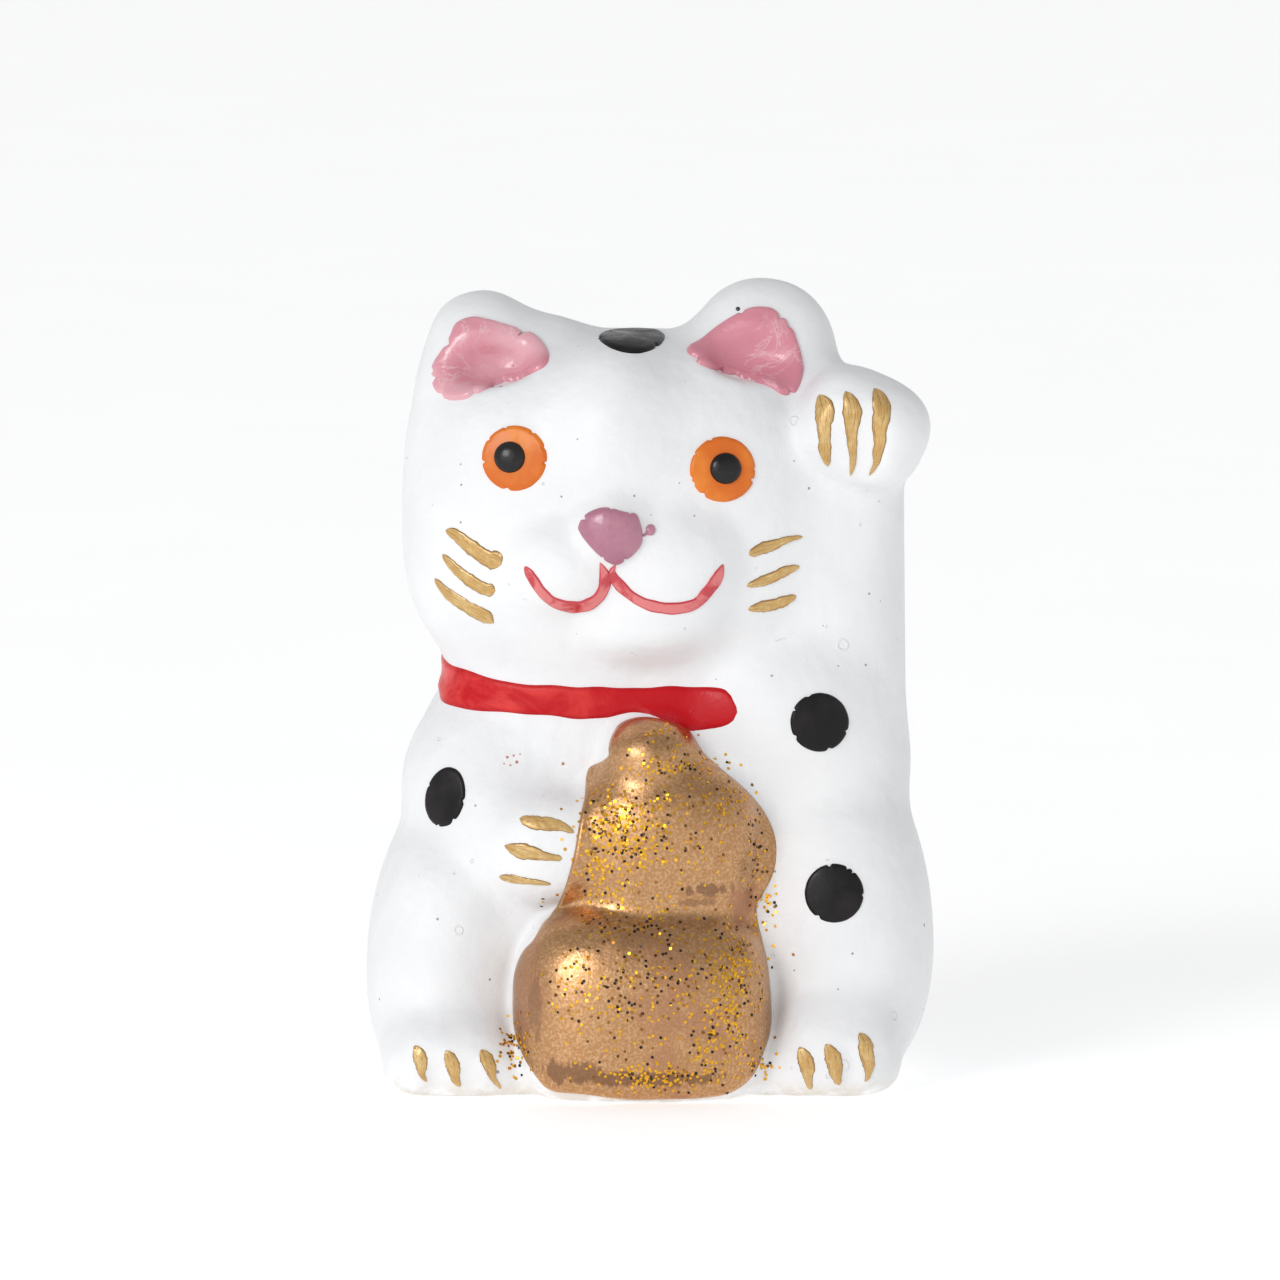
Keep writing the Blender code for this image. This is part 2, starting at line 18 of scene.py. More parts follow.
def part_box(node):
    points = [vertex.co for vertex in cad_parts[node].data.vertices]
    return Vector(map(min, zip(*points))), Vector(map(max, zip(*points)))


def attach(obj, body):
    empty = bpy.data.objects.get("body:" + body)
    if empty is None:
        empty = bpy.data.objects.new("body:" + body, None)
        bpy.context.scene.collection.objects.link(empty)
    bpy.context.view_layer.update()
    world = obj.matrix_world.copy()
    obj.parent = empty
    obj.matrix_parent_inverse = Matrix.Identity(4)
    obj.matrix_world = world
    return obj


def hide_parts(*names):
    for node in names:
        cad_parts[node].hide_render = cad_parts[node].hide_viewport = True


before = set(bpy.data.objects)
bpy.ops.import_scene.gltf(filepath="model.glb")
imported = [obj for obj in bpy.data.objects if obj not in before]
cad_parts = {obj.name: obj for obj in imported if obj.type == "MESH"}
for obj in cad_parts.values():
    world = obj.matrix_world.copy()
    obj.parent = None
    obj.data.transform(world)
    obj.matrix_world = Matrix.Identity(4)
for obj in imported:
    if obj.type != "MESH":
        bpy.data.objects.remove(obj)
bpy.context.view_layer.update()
LOG = logging.getLogger("beckoning_cat")
MM = 0.001
VIEW_TILT = math.radians(7.0)
# Upper end of a random angle, in radians.
ANY_ANGLE = 6.28
# How far past its own size a clay mass is felt, and the distance given beyond that, in millimetres.
NEARBY, FAR = 4.0, 10.0
Point2 = tuple[float, float]
Point3 = tuple[float, float, float]
Colour = tuple[float, float, float]


# Bench tools ------------------------------------------------------------------------------


def deselect() -> None:
    """Deselect every object."""
    bpy.ops.object.select_all(action="DESELECT")


def choose(thing: bpy.types.Object) -> None:
    """Make one object the only selected and active one.

    Args:
        thing: The object to select.
    """
    deselect()
    thing.select_set(True)
    bpy.context.view_layer.objects.active = thing


def add_new(operator: Callable[..., set[str]], **settings: object) -> bpy.types.Object:
    """Add an object with nothing else selected.

    Args:
        operator: Blender's operator that adds it.
        **settings: The operator's settings.

    Returns:
        The new object.
    """
    deselect()
    operator(**settings)
    return bpy.context.view_layer.objects.active


def apply_all(thing: bpy.types.Object) -> None:
    """Apply an object's modifiers in order.

    Args:
        thing: The object that carries them.
    """
    choose(thing)
    for modifier in list(thing.modifiers):
        bpy.ops.object.modifier_apply(modifier=modifier.name)


def join(things: Sequence[bpy.types.Object], name: str) -> bpy.types.Object:
    """Join objects into one and free it of its own place and turn.

    Args:
        things: The objects to join.
        name: Name of the result.

    Returns:
        The joined object.
    """
    deselect()
    for thing in things:
        thing.select_set(True)
    bpy.context.view_layer.objects.active = things[0]
    if len(things) > 1:
        bpy.ops.object.join()
    whole = bpy.context.view_layer.objects.active
    bpy.ops.object.transform_apply(location=True, rotation=True, scale=True)
    whole.name = name
    whole.data.name = name
    return whole


def points_of(thing: bpy.types.Object) -> np.ndarray:
    """Return an object's points in millimetres.

    Args:
        thing: A mesh object.

    Returns:
        One row of x, y, z for each point.
    """
    flat = np.empty(len(thing.data.vertices) * 3)
    thing.data.vertices.foreach_get("co", flat)
    return flat.reshape(-1, 3) / MM


def place_points(thing: bpy.types.Object, points: np.ndarray) -> None:
    """Set an object's points.

    Args:
        thing: A mesh object.
        points: One row of x, y, z in millimetres for each point.
    """
    thing.data.vertices.foreach_set("co", (points * MM).ravel())
    thing.data.update()


def surface_of(thing: bpy.types.Object) -> BVHTree:
    """Return an object's surface as a tree that rays can be cast at.

    Args:
        thing: A mesh object.

    Returns:
        The tree.
    """
    return BVHTree.FromPolygons([point.co.copy() for point in thing.data.vertices],
                                [tuple(face.vertices) for face in thing.data.polygons])


def turned(degrees: Point3) -> np.ndarray:
    """Return the rotation for turns about X, Y and then Z.

    Args:
        degrees: The three turns.

    Returns:
        A 3 x 3 matrix.
    """
    ax, ay, az = np.radians(degrees)
    about_x = np.array([[1, 0, 0], [0, np.cos(ax), -np.sin(ax)], [0, np.sin(ax), np.cos(ax)]])
    about_y = np.array([[np.cos(ay), 0, np.sin(ay)], [0, 1, 0], [-np.sin(ay), 0, np.cos(ay)]])
    about_z = np.array([[np.cos(az), -np.sin(az), 0], [np.sin(az), np.cos(az), 0], [0, 0, 1]])
    return about_z @ about_y @ about_x


def along(corners: Sequence[Point2] | Sequence[Point3], shares: np.ndarray,
          closed: bool = False) -> np.ndarray:
    """Return points at given shares of the smooth curve through some corners.

    Args:
        corners: Points the curve passes through, with any further values to blend beside them.
        shares: Shares of its length, from 0 to 1.
        closed: Whether the curve returns to its first corner.

    Returns:
        One row for each share.
    """
    knots = np.array(corners, float)
    if closed:
        knots = np.vstack([knots[-1:], knots, knots[:2]])
    else:
        knots = np.vstack([2 * knots[0] - knots[1], knots, 2 * knots[-1] - knots[-2]])
    steps = np.linspace(0.0, 1.0, 12, endpoint=False)[:, None]
    pieces = []
    for before, here, after, later in zip(knots, knots[1:], knots[2:], knots[3:]):
        pieces.append(0.5 * (2 * here + (after - before) * steps
                             + (2 * before - 5 * here + 4 * after - later) * steps ** 2
                             + (3 * here - before - 3 * after + later) * steps ** 3))
    dense = np.vstack(pieces + [knots[-2:-1]])
    steps = np.linalg.norm(np.diff(dense[:, :2], axis=0), axis=1)
    lengths = np.concatenate([[0.0], np.cumsum(steps)])
    stops = shares * lengths[-1]
    return np.column_stack([np.interp(stops, lengths, column) for column in dense.T])


# Clay -------------------------------------------------------------------------------------


@dataclass(frozen=True)
class Mass:
    """A rounded clay mass: an ellipsoid squared off by its power and blended into the rest."""

    centre: Point3
    radii: Point3
    blend: float
    power: float = 2.0
    turn: Point3 = (0.0, 0.0, 0.0)
    cuts: bool = False

    def distance(self, points: np.ndarray) -> np.ndarray:
        """Return how far points lie outside the mass, nearly in millimetres.

        Args:
            points: One row for each point.

        Returns:
            One distance for each point.
        """
        away = points - np.array(self.centre)
        near = np.abs(away).max(axis=1) < max(self.radii) * 1.1 + NEARBY
        radii = np.array(self.radii, float)
        size = np.abs(away[near] @ turned(self.turn) / radii) + 1e-9
        reach = (size ** self.power).sum(axis=1) ** (1.0 / self.power)
        slope = (size / reach[:, None]) ** (self.power - 1.0) / radii
        far = np.full(len(points), FAR)
        far[near] = (reach - 1.0) / np.sqrt((slope * slope).sum(axis=1))
        return far

    def add_lump(self) -> bpy.types.Object:
        """Return the mass as a ball pressed into its squared shape."""
        lump = add_new(bpy.ops.mesh.primitive_uv_sphere_add, segments=32, ring_count=20, radius=MM)
        rays = points_of(lump)
        rays /= (np.abs(rays) ** self.power).sum(axis=1)[:, None] ** (1.0 / self.power)
        place_points(lump, rays * np.array(self.radii) @ turned(self.turn).T + np.array(self.centre))
        return lump


@dataclass(frozen=True)
class Limb:
    """A tapering round bar of clay between two points."""

    start: Point3
    end: Point3
    radii: Point2
    blend: float
    cuts: bool = False

    def distance(self, points: np.ndarray) -> np.ndarray:
        """Return how far points lie outside the bar.

        Args:
            points: One row for each point.

        Returns:
            One distance for each point.
        """
        start = np.array(self.start, float)
        span = np.array(self.end, float) - start
        share = np.clip((points - start) @ span / (span @ span), 0.0, 1.0)
        radius = self.radii[0] + (self.radii[1] - self.radii[0]) * share
        return np.linalg.norm(points - start - share[:, None] * span, axis=1) - radius

    def add_lump(self) -> bpy.types.Object:
        """Return the bar as a cone with a ball at each end."""
        start, end = Vector(self.start) * MM, Vector(self.end) * MM
        parts = [add_new(
            bpy.ops.mesh.primitive_cone_add, vertices=24, radius1=self.radii[0] * MM,
            radius2=self.radii[1] * MM, depth=(end - start).length, location=(start + end) / 2,
            rotation=(end - start).to_track_quat("Z", "Y").to_euler())]
        for centre, radius in zip((start, end), self.radii):
            parts.append(add_new(bpy.ops.mesh.primitive_uv_sphere_add, segments=24, ring_count=14,
                                 radius=radius * MM, location=centre))
        return join(parts, "limb")


def fillet(first: np.ndarray, second: np.ndarray, blend: float) -> np.ndarray:
    """Unite two distances with a soft fillet.

    Args:
        first: Distances to one form.
        second: Distances to the other.
        blend: Width of the fillet.

    Returns:
        Distances to both together.
    """
    overlap = np.maximum(blend - np.abs(first - second), 0.0) / blend
    return np.minimum(first, second) - overlap * overlap * blend / 4.0


@dataclass
class Casting:
    """The cast clay body, from rough lumps to a settled skin with its creases marked."""

    voxel: float = 0.29
    rough_voxel: float = 0.6
    base_round: float = 1.3
    crease_reach: float = 1.3
    outside: float = 1e3
    probe: float = 0.02
    longest_step: float = 0.8
    sole: float = 0.03
    shapes: list[Mass | Limb] = field(default_factory=lambda: [
        # hips, chest and head
        Mass((-0.4, 1.0, 7.2), (16.4, 10.0, 12.4), 0.1, 2.6),
        Mass((0.3, 1.2, 17.9), (15.3, 9.0, 9.8), 2.5, 2.8),
        Mass((-1.75, 0.6, 35.6), (13.9, 9.8, 11.6), 3.6, 2.75),
        # thighs
        Mass((-12.6, -2.4, 8.2), (5.1, 7.6, 9.4), 2.4, 2.2, (0, 6, 0)),
        Mass((12.1, -2.4, 9.8), (5.9, 7.8, 10.2), 2.4, 2.2, (0, -4, 0)),
        # feet and the low rim of clay beside the gourd
        Mass((-12.3, -8.2, 1.7), (4.4, 4.1, 3.4), 2.2, 2.5),
        Mass((11.6, -8.2, 2.1), (4.2, 4.1, 4.3), 2.2, 2.3),
        Mass((-8.4, -6.8, 0.4), (4.4, 4.4, 3.0), 1.6, 2.4),
        Mass((7.8, -6.8, 0.4), (4.0, 4.6, 3.4), 1.6, 2.4),
        # resting arm and its paw
        Limb((-11.0, -2.6, 18.9), (-7.6, -7.0, 15.6), (4.5, 3.4), 1.8),
        Mass((-5.6, -8.6, 15.4), (3.8, 2.8, 3.3), 1.4, 2.4),
        # raised arm, its shoulder and the folded paw
        Limb((11.4, -1.4, 21.0), (11.9, -1.0, 39.5), (4.9, 4.2), 2.6),
        Mass((8.4, -5.0, 23.6), (4.6, 3.6, 3.8), 2.6),
        Mass((13.4, -4.2, 41.5), (4.2, 4.4, 3.5), 1.5, 2.6, (0, 24, 0)),
        # grooves between the toes of the folded paw and of the feet
        Limb((11.75, -9.3, 41.8), (11.85, -8.5, 38.6), (0.8, 0.8), 1.2, True),
        Limb((13.6, -9.3, 42.0), (13.45, -8.5, 38.6), (0.8, 0.8), 1.2, True),
        Limb((-13.3, -12.6, 1.9), (-13.0, -12.9, -0.6), (0.7, 0.7), 0.9, True),
        Limb((-11.2, -12.9, 1.9), (-10.9, -13.2, -0.6), (0.7, 0.7), 0.9, True),
        Limb((10.6, -12.9, 2.2), (10.8, -13.2, -0.6), (0.7, 0.7), 0.9, True),
        Limb((12.6, -12.6, 2.6), (12.8, -12.9, -0.6), (0.7, 0.7), 0.9, True),
        # ears
        Mass((-8.0, 0.3, 43.4), (4.9, 4.3, 4.9), 2.0, 2.3),
        Mass((-10.35, 0.3, 45.4), (3.4, 3.9, 4.3), 1.6, 2.3, (0, -14, 0)),
        Mass((-10.9, 0.4, 42.2), (3.7, 4.6, 4.6), 2.0, 2.4),
        Mass((6.9, 0.3, 44.0), (5.0, 4.3, 6.5), 2.0, 2.2, (0, 8, 0)),
        # ear hollows
        Mass((-10.1, -5.3, 45.9), (3.0, 2.3, 1.7), 0.8, 2.3, (-24, 0, 6), True),
        Mass((6.6, -5.3, 46.4), (3.0, 2.3, 1.8), 0.8, 2.3, (-24, 0, -6), True),
        # forehead, muzzle pads, nose and chin
        Mass((-2.2, -5.2, 40.2), (4.4, 4.9, 6.4), 2.2),
        Mass((-5.2, -8.2, 33.3), (3.5, 2.6, 3.0), 1.6),
        Mass((1.4, -8.2, 33.3), (4.0, 2.6, 3.4), 1.6),
        Mass((-2.35, -9.5, 35.7), (2.1, 1.9, 2.1), 1.2),
        Mass((0.2, -7.4, 29.6), (4.4, 2.8, 2.2), 1.6, 2.0, (0, -8, 0)),
        # gourd: lower bulb, neck, upper bulb with a lobe beside it, and knob
        Mass((-0.45, -7.0, 4.4), (8.1, 7.5, 7.8), 0.8, 3.0),
        Mass((0.3, -5.6, 11.8), (6.1, 5.9, 3.4), 1.2, 2.4),
        Mass((1.1, -6.4, 15.7), (5.8, 5.8, 5.5), 1.2, 2.6),
        Mass((6.1, -5.4, 14.4), (2.1, 3.7, 4.0), 0.4, 2.2),
        Mass((0.1, -8.2, 21.1), (2.8, 3.0, 2.4), 1.3),
    ])
    body: bpy.types.Object | None = None
    tree: BVHTree | None = None
    seat: Vector = field(default_factory=Vector)

    def distance(self, points: np.ndarray) -> np.ndarray:
        """Return the distance to the whole blended form, standing flat on z = 0.

        Args:
            points: One row for each point.

        Returns:
            One distance for each point.
        """
        total = np.full(len(points), self.outside)
        for shape in self.shapes:
            part = shape.distance(points)
            if shape.cuts:
                total = -fillet(-total, part, shape.blend)
            else:
                total = fillet(total, part, shape.blend)
        return -fillet(-total, points[:, 2], self.base_round)

    def outward(self, points: np.ndarray) -> tuple[np.ndarray, np.ndarray]:
        """Return the outward direction and steepness of the form at some points.

        Args:
            points: One row for each point.

        Returns:
            Unit directions, and the distance's growth along them.
        """
        here = self.distance(points)
        slope = np.column_stack([
            (self.distance(points + axis * self.probe) - here) / self.probe for axis in np.eye(3)])
        steep = np.linalg.norm(slope, axis=1)
        return slope / steep[:, None], steep

    def settle(self, rounds: int) -> None:
        """Move the skin on to the blended form.

        Args:
            rounds: Number of corrections.
        """
        points = points_of(self.body)
        for _ in range(rounds):
            way, steep = self.outward(points)
            step = np.clip(self.distance(points), -self.longest_step, self.longest_step)
            points -= way * (step / steep)[:, None]
        points[points[:, 2] < self.sole, 2] = 0.0
        place_points(self.body, points)

    def relax(self, rounds: int) -> None:
        """Even out the skin's points.

        Args:
            rounds: Number of smoothing rounds.
        """
        modifier = self.body.modifiers.new("relax", "SMOOTH")
        modifier.factor = 0.5
        modifier.iterations = rounds
        apply_all(self.body)

    def mark_creases(self) -> None:
        """Store how deep each point lies in a crease."""
        points = points_of(self.body)
        way, _ = self.outward(points)
        open_air = self.distance(points + way * self.crease_reach) / self.crease_reach
        layer = self.body.data.attributes.new("crease", "FLOAT", "POINT")
        layer.data.foreach_set("value", np.clip(1.0 - open_air, 0.0, 1.0).astype(np.float32))

    def build(self) -> bpy.types.Object:
        """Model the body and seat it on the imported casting.

        Returns:
            The body's object.
        """
        lumps = [shape.add_lump() for shape in self.shapes if not shape.cuts]
        self.body = join(lumps, "clay_body")
        skin = self.body.modifiers.new("even_skin", "REMESH")
        skin.mode = "VOXEL"
        skin.voxel_size = self.voxel * MM
        apply_all(self.body)
        self.settle(2)
        for smoothing, corrections in ((8, 2), (2, 1)):
            self.relax(smoothing)
            self.settle(corrections)
        self.mark_creases()
        self.body.data.shade_smooth()
        self.tree = surface_of(self.body)
        low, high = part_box("cast_body")
        own = points_of(self.body)
        middle = Vector((own.min(axis=0) + own.max(axis=0)) / 2) * MM
        self.seat = (Vector(low) + Vector(high)) / 2 - middle
        self.seat.z = low[2]
        return self.body


# Shader bench -----------------------------------------------------------------------------


class Bench:
    """Adds, sets and links shader nodes in one tree."""

    def __init__(self, tree: bpy.types.NodeTree) -> None:
        """Take the tree to work in.

        Args:
            tree: A material's, group's or world's node tree.
        """
        self.tree = tree

    def add(self, kind: str, sockets: dict[str | int, object] | None = None,
            **settings: object) -> bpy.types.Node:
        """Add a node.

        Args:
            kind: Blender's type name of the node.
            sockets: Values or output sockets for its inputs.
            **settings: Other properties of the node.

        Returns:
            The node.
        """
        node = self.tree.nodes.new(kind)
        for name, value in settings.items():
            setattr(node, name, value)
        for key, value in (sockets or {}).items():
            if isinstance(value, bpy.types.NodeSocket):
                self.tree.links.new(value, node.inputs[key])
            elif isinstance(value, tuple) and len(value) == 3 and node.inputs[key].type == "RGBA":
                node.inputs[key].default_value = (*value, 1.0)
            else:
                node.inputs[key].default_value = value
        return node

    def mix(self, share: object, first: object, second: object) -> bpy.types.NodeSocket:
        """Mix two colours.

        Args:
            share: Share of the second colour.
            first: First colour or socket.
            second: Second colour or socket.

        Returns:
            The colour output.
        """
        node = self.tree.nodes.new("ShaderNodeMix")
        node.data_type = "RGBA"
        for slot, value in ((0, share), (6, first), (7, second)):
            if isinstance(value, bpy.types.NodeSocket):
                self.tree.links.new(value, node.inputs[slot])
            elif slot:
                node.inputs[slot].default_value = (*value, 1.0)
            else:
                node.inputs[slot].default_value = value
        return node.outputs[2]

    def math(self, operation: str, first: object, second: object = 0.0,
             clamp: bool = False) -> bpy.types.NodeSocket:
        """Combine two values.

        Args:
            operation: Blender's name of the operation.
            first: First value or socket.
            second: Second value or socket.
            clamp: Whether the result stays between 0 and 1.

        Returns:
            The value output.
        """
        return self.add("ShaderNodeMath", {0: first, 1: second}, operation=operation,
                        use_clamp=clamp).outputs[0]

    def ramp(self, value: object, low: float, high: float, start: float = 0.0,
             end: float = 1.0) -> bpy.types.NodeSocket:
        """Map a value smoothly from one span to another.

        Args:
            value: The value or socket.
            low: Input that gives the start.
            high: Input that gives the end.
            start: Output at the low input.
            end: Output at the high input.

        Returns:
            The mapped value.
        """
        return self.add("ShaderNodeMapRange",
                        {"Value": value, "From Min": low, "From Max": high, "To Min": start, "To Max": end},
                        interpolation_type="SMOOTHSTEP").outputs[0]

    def noise(self, scale: float, detail: float = 3.0, rough: float = 0.55, warp: float = 0.0,
              vector: bpy.types.NodeSocket | None = None) -> bpy.types.NodeSocket:
        """Add noise on the object's own coordinates.

        Args:
            scale: Patches for each metre.
            detail: Octaves.
            rough: Weight of the finer octaves.
            warp: Distortion.
            vector: Other coordinates to read.

        Returns:
            The noise value.
        """
        where = vector or self.add("ShaderNodeTexCoord").outputs["Object"]
        return self.add("ShaderNodeTexNoise",
                        {"Vector": where, "Scale": scale, "Detail": detail, "Roughness": rough,
                         "Distortion": warp}).outputs["Fac"]

    def feed(self, node: bpy.types.Node, **sources: bpy.types.NodeSocket) -> None:
        """Link outputs to a node's inputs.

        Args:
            node: The node.
            **sources: Outputs under the inputs' names, with spaces written as underscores.
        """
        for name, source in sources.items():
            self.tree.links.new(source, node.inputs[name.replace("_", " ")])

    def effect(self, group: bpy.types.NodeTree, **values: float) -> bpy.types.Node:
        """Place a shared effect.

        Args:
            group: The effect's node group.
            **values: Values for its inputs, with spaces written as underscores.

        Returns:
            The group node.
        """
        node = self.tree.nodes.new("ShaderNodeGroup")
        node.node_tree = group
        for name, value in values.items():
            node.inputs[name.replace("_", " ")].default_value = value
        return node


def new_group(name: str, inputs: dict[str, float], outputs: Sequence[str]) -> tuple[
        bpy.types.NodeTree, bpy.types.NodeSocketStandard, bpy.types.Node]:
    """Start a shader node group with named value sockets.

    Args:
        name: Name of the group.
        inputs: Input names with their usual values.
        outputs: Output names.

    Returns:
        The group, its input node's outputs and its output node.
    """
    group = bpy.data.node_groups.new(name, "ShaderNodeTree")
    for label, usual in inputs.items():
        socket = group.interface.new_socket(name=label, in_out="INPUT", socket_type="NodeSocketFloat")
        socket.default_value = usual
    for label in outputs:
        group.interface.new_socket(name=label, in_out="OUTPUT", socket_type="NodeSocketFloat")
    return group, group.nodes.new("NodeGroupInput").outputs, group.nodes.new("NodeGroupOutput")


class Effects:
    """Shared surface effects, each a node group made once."""

    def __init__(self) -> None:
        """Build the groups."""
        self.unevenness = self.make_unevenness()
        self.dots = self.make_dots()
        self.brushing = self.make_brushing()

    @staticmethod
    def make_unevenness() -> bpy.types.NodeTree:
        """Return soft waves with fine grain over them, as a height."""
        group, given, result = new_group(
            "unevenness", {"Wave scale": 300.0, "Grain scale": 5000.0, "Grain share": 0.3}, ["Height"])
        bench = Bench(group)
        waves = bench.noise(1.0, 2.0)
        bench.feed(waves.node, Scale=given["Wave scale"])
        grain = bench.noise(1.0, 3.0, 0.6)
        bench.feed(grain.node, Scale=given["Grain scale"])
        height = bench.math("ADD", waves, bench.math("MULTIPLY", grain, given["Grain share"]))
        bench.feed(result, Height=height)
        return group

    @staticmethod
    def make_dots() -> bpy.types.NodeTree:
        """Return sparse round dots as a disc mask and a ring mask."""
        group, given, result = new_group(
            "dots", {"Scale": 800.0, "Radius": 0.12, "Share": 0.2}, ["Disc", "Ring"])
        bench = Bench(group)
        where = bench.add("ShaderNodeTexCoord").outputs["Object"]
        cells = bench.add("ShaderNodeTexVoronoi", {"Vector": where, "Scale": given["Scale"]})
        pick = bench.add("ShaderNodeSeparateColor", {0: cells.outputs["Color"]})
        chosen = bench.math("LESS_THAN", pick.outputs[0], given["Share"])
        size = bench.math("MULTIPLY", given["Radius"], bench.math("ADD", pick.outputs[1], 0.5))
        reach = bench.math("DIVIDE", cells.outputs["Distance"], size)
        disc = bench.math("MULTIPLY", bench.ramp(reach, 0.7, 1.0, 1.0, 0.0), chosen)
        rim = bench.math("MULTIPLY", bench.ramp(reach, 0.6, 1.0), bench.ramp(reach, 1.0, 1.4, 1.0, 0.0))
        bench.feed(result, Disc=disc, Ring=bench.math("MULTIPLY", rim, chosen))
        return group

    @staticmethod
    def make_brushing() -> bpy.types.NodeTree:
        """Return streaks that run along a stroke's own length, and the nearness of its edges."""
        group, given, result = new_group(
            "brushing", {"Streaks": 7.0, "Edge width": 0.3}, ["Streak", "Edge"])
        bench = Bench(group)
        strip = bench.add("ShaderNodeSeparateXYZ", {0: bench.add("ShaderNodeTexCoord").outputs["UV"]})
        across = strip.outputs["Y"]
        lanes = bench.math("MULTIPLY", across, given["Streaks"])
        run = bench.add("ShaderNodeCombineXYZ", {"X": strip.outputs["X"], "Y": lanes})
        streak = bench.noise(2.6, 4.0, 0.65, 0.6, run.outputs[0])
        middle = bench.math("ABSOLUTE", bench.math("SUBTRACT", bench.math("MULTIPLY", across, 2.0), 1.0))
        inner = bench.math("SUBTRACT", 1.0, given["Edge width"])
        edge = bench.math("DIVIDE", bench.math("SUBTRACT", middle, inner), given["Edge width"], True)
        bench.feed(result, Streak=streak, Edge=edge)
        return group


def start_material(name: str, **constants: float) -> tuple[bpy.types.Material, Bench, bpy.types.Node]:
    """Start a material with its shader's constant values.

    Args:
        name: Name of the material.
        **constants: Shader inputs, with spaces written as underscores.

    Returns:
        The material, its bench and its shader.
    """
    material = bpy.data.materials.new(name)
    material.use_nodes = True
    shader = material.node_tree.nodes["Principled BSDF"]
    for label, value in constants.items():
        shader.inputs[label.replace("_", " ")].default_value = value
    return material, Bench(material.node_tree), shader


def relief(bench: Bench, shader: bpy.types.Node, layers: Sequence[tuple[object, float, float]]) -> None:
    """Lay heights over one another as bumps on a shader's normal.

    Args:
        bench: The material's bench.
        shader: Its shader.
        layers: A height, its depth in millimetres and its strength, for each layer.
    """
    last = None
    for height, depth, strength in layers:
        sockets = {"Height": height, "Distance": depth * MM, "Strength": strength}
        if last is not None:
            sockets["Normal"] = last
        last = bench.add("ShaderNodeBump", sockets).outputs[0]
    bench.feed(shader, Normal=last)


# Finishes ---------------------------------------------------------------------------------


@dataclass(frozen=True)
class Bisque:
    """Matt white dip over cast clay, with pits, burst bubbles, specks, handling marks and painted shade in
    the creases.
    """

    white: Colour = (0.86, 0.865, 0.87)
    cool: Colour = (0.81, 0.82, 0.835)
    # grey laid in the creases as painted shade
    crease_shade_grey: Colour = (0.50, 0.49, 0.48)
    scuff: Colour = (0.60, 0.52, 0.42)
    speck: Colour = (0.10, 0.075, 0.06)

    def make(self, effects: Effects) -> bpy.types.Material:
        """Build the material.

        Args:
            effects: The shared effects.

        Returns:
            The material.
        """
        material, bench, shader = start_material("white_dip_bisque")
        crease = bench.add("ShaderNodeAttribute", attribute_name="crease").outputs["Fac"]
        colour = bench.mix(bench.ramp(bench.noise(140.0), 0.35, 0.7), self.white, self.cool)
        # Painted shade: grey darkening in the creases, stronger where a point is more closed in, broken up
        # by noise.
        crease_shade_share = bench.math("MULTIPLY", bench.ramp(crease, 0.25, 1.0, 0.0, 0.5),
                           bench.ramp(bench.noise(420.0, 5.0), 0.25, 0.75, 0.5, 1.0))
        colour = bench.mix(crease_shade_share, colour, self.crease_shade_grey)
        patches = bench.ramp(bench.noise(260.0, 6.0, 0.7), 0.69, 0.76, 0.0, 0.35)
        colour = bench.mix(patches, colour, self.scuff)
        for scale, radius, share in ((520.0, 0.06, 0.22), (1100.0, 0.075, 0.12)):
            specks = bench.effect(effects.dots, Scale=scale, Radius=radius, Share=share)
            colour = bench.mix(bench.math("MULTIPLY", specks.outputs["Disc"], 0.7), colour, self.speck)
        height = bench.add("ShaderNodeSeparateXYZ", {0: bench.add("ShaderNodeTexCoord").outputs["Object"]})
        foot = bench.math("MULTIPLY", bench.ramp(height.outputs["Z"], 0.0, 0.0016, 0.6, 0.0),
                          bench.ramp(bench.noise(700.0, 5.0, 0.7), 0.35, 0.6))
        colour = bench.mix(foot, colour, self.scuff)
        bench.feed(shader, Base_Color=colour,
                   Roughness=bench.ramp(bench.noise(500.0, 4.0), 0.3, 0.7, 0.42, 0.6))
        waves = bench.effect(effects.unevenness, Wave_scale=330.0, Grain_scale=9000.0, Grain_share=0.06)
        pits = bench.effect(effects.dots, Scale=900.0, Radius=0.10, Share=0.10)
        bubbles = bench.effect(effects.dots, Scale=330.0, Radius=0.10, Share=0.08)
        orange_peel = bench.noise(1700.0, 3.0, 0.6)
        relief(bench, shader, [
            (waves.outputs["Height"], 0.28, 0.8),
            (orange_peel, 0.05, 0.7),
            (bench.math("SUBTRACT", 1.0, pits.outputs["Disc"]), 0.08, 0.8),
            (bubbles.outputs["Ring"], 0.06, 0.8),
        ])
        return material


class Pattern(Enum):
    """How a colour of enamel lies."""

    FLAT = "flat"
    WISPY = "wispy"
    STROKE = "stroke"
    WASH = "wash"
    FADE = "fade"


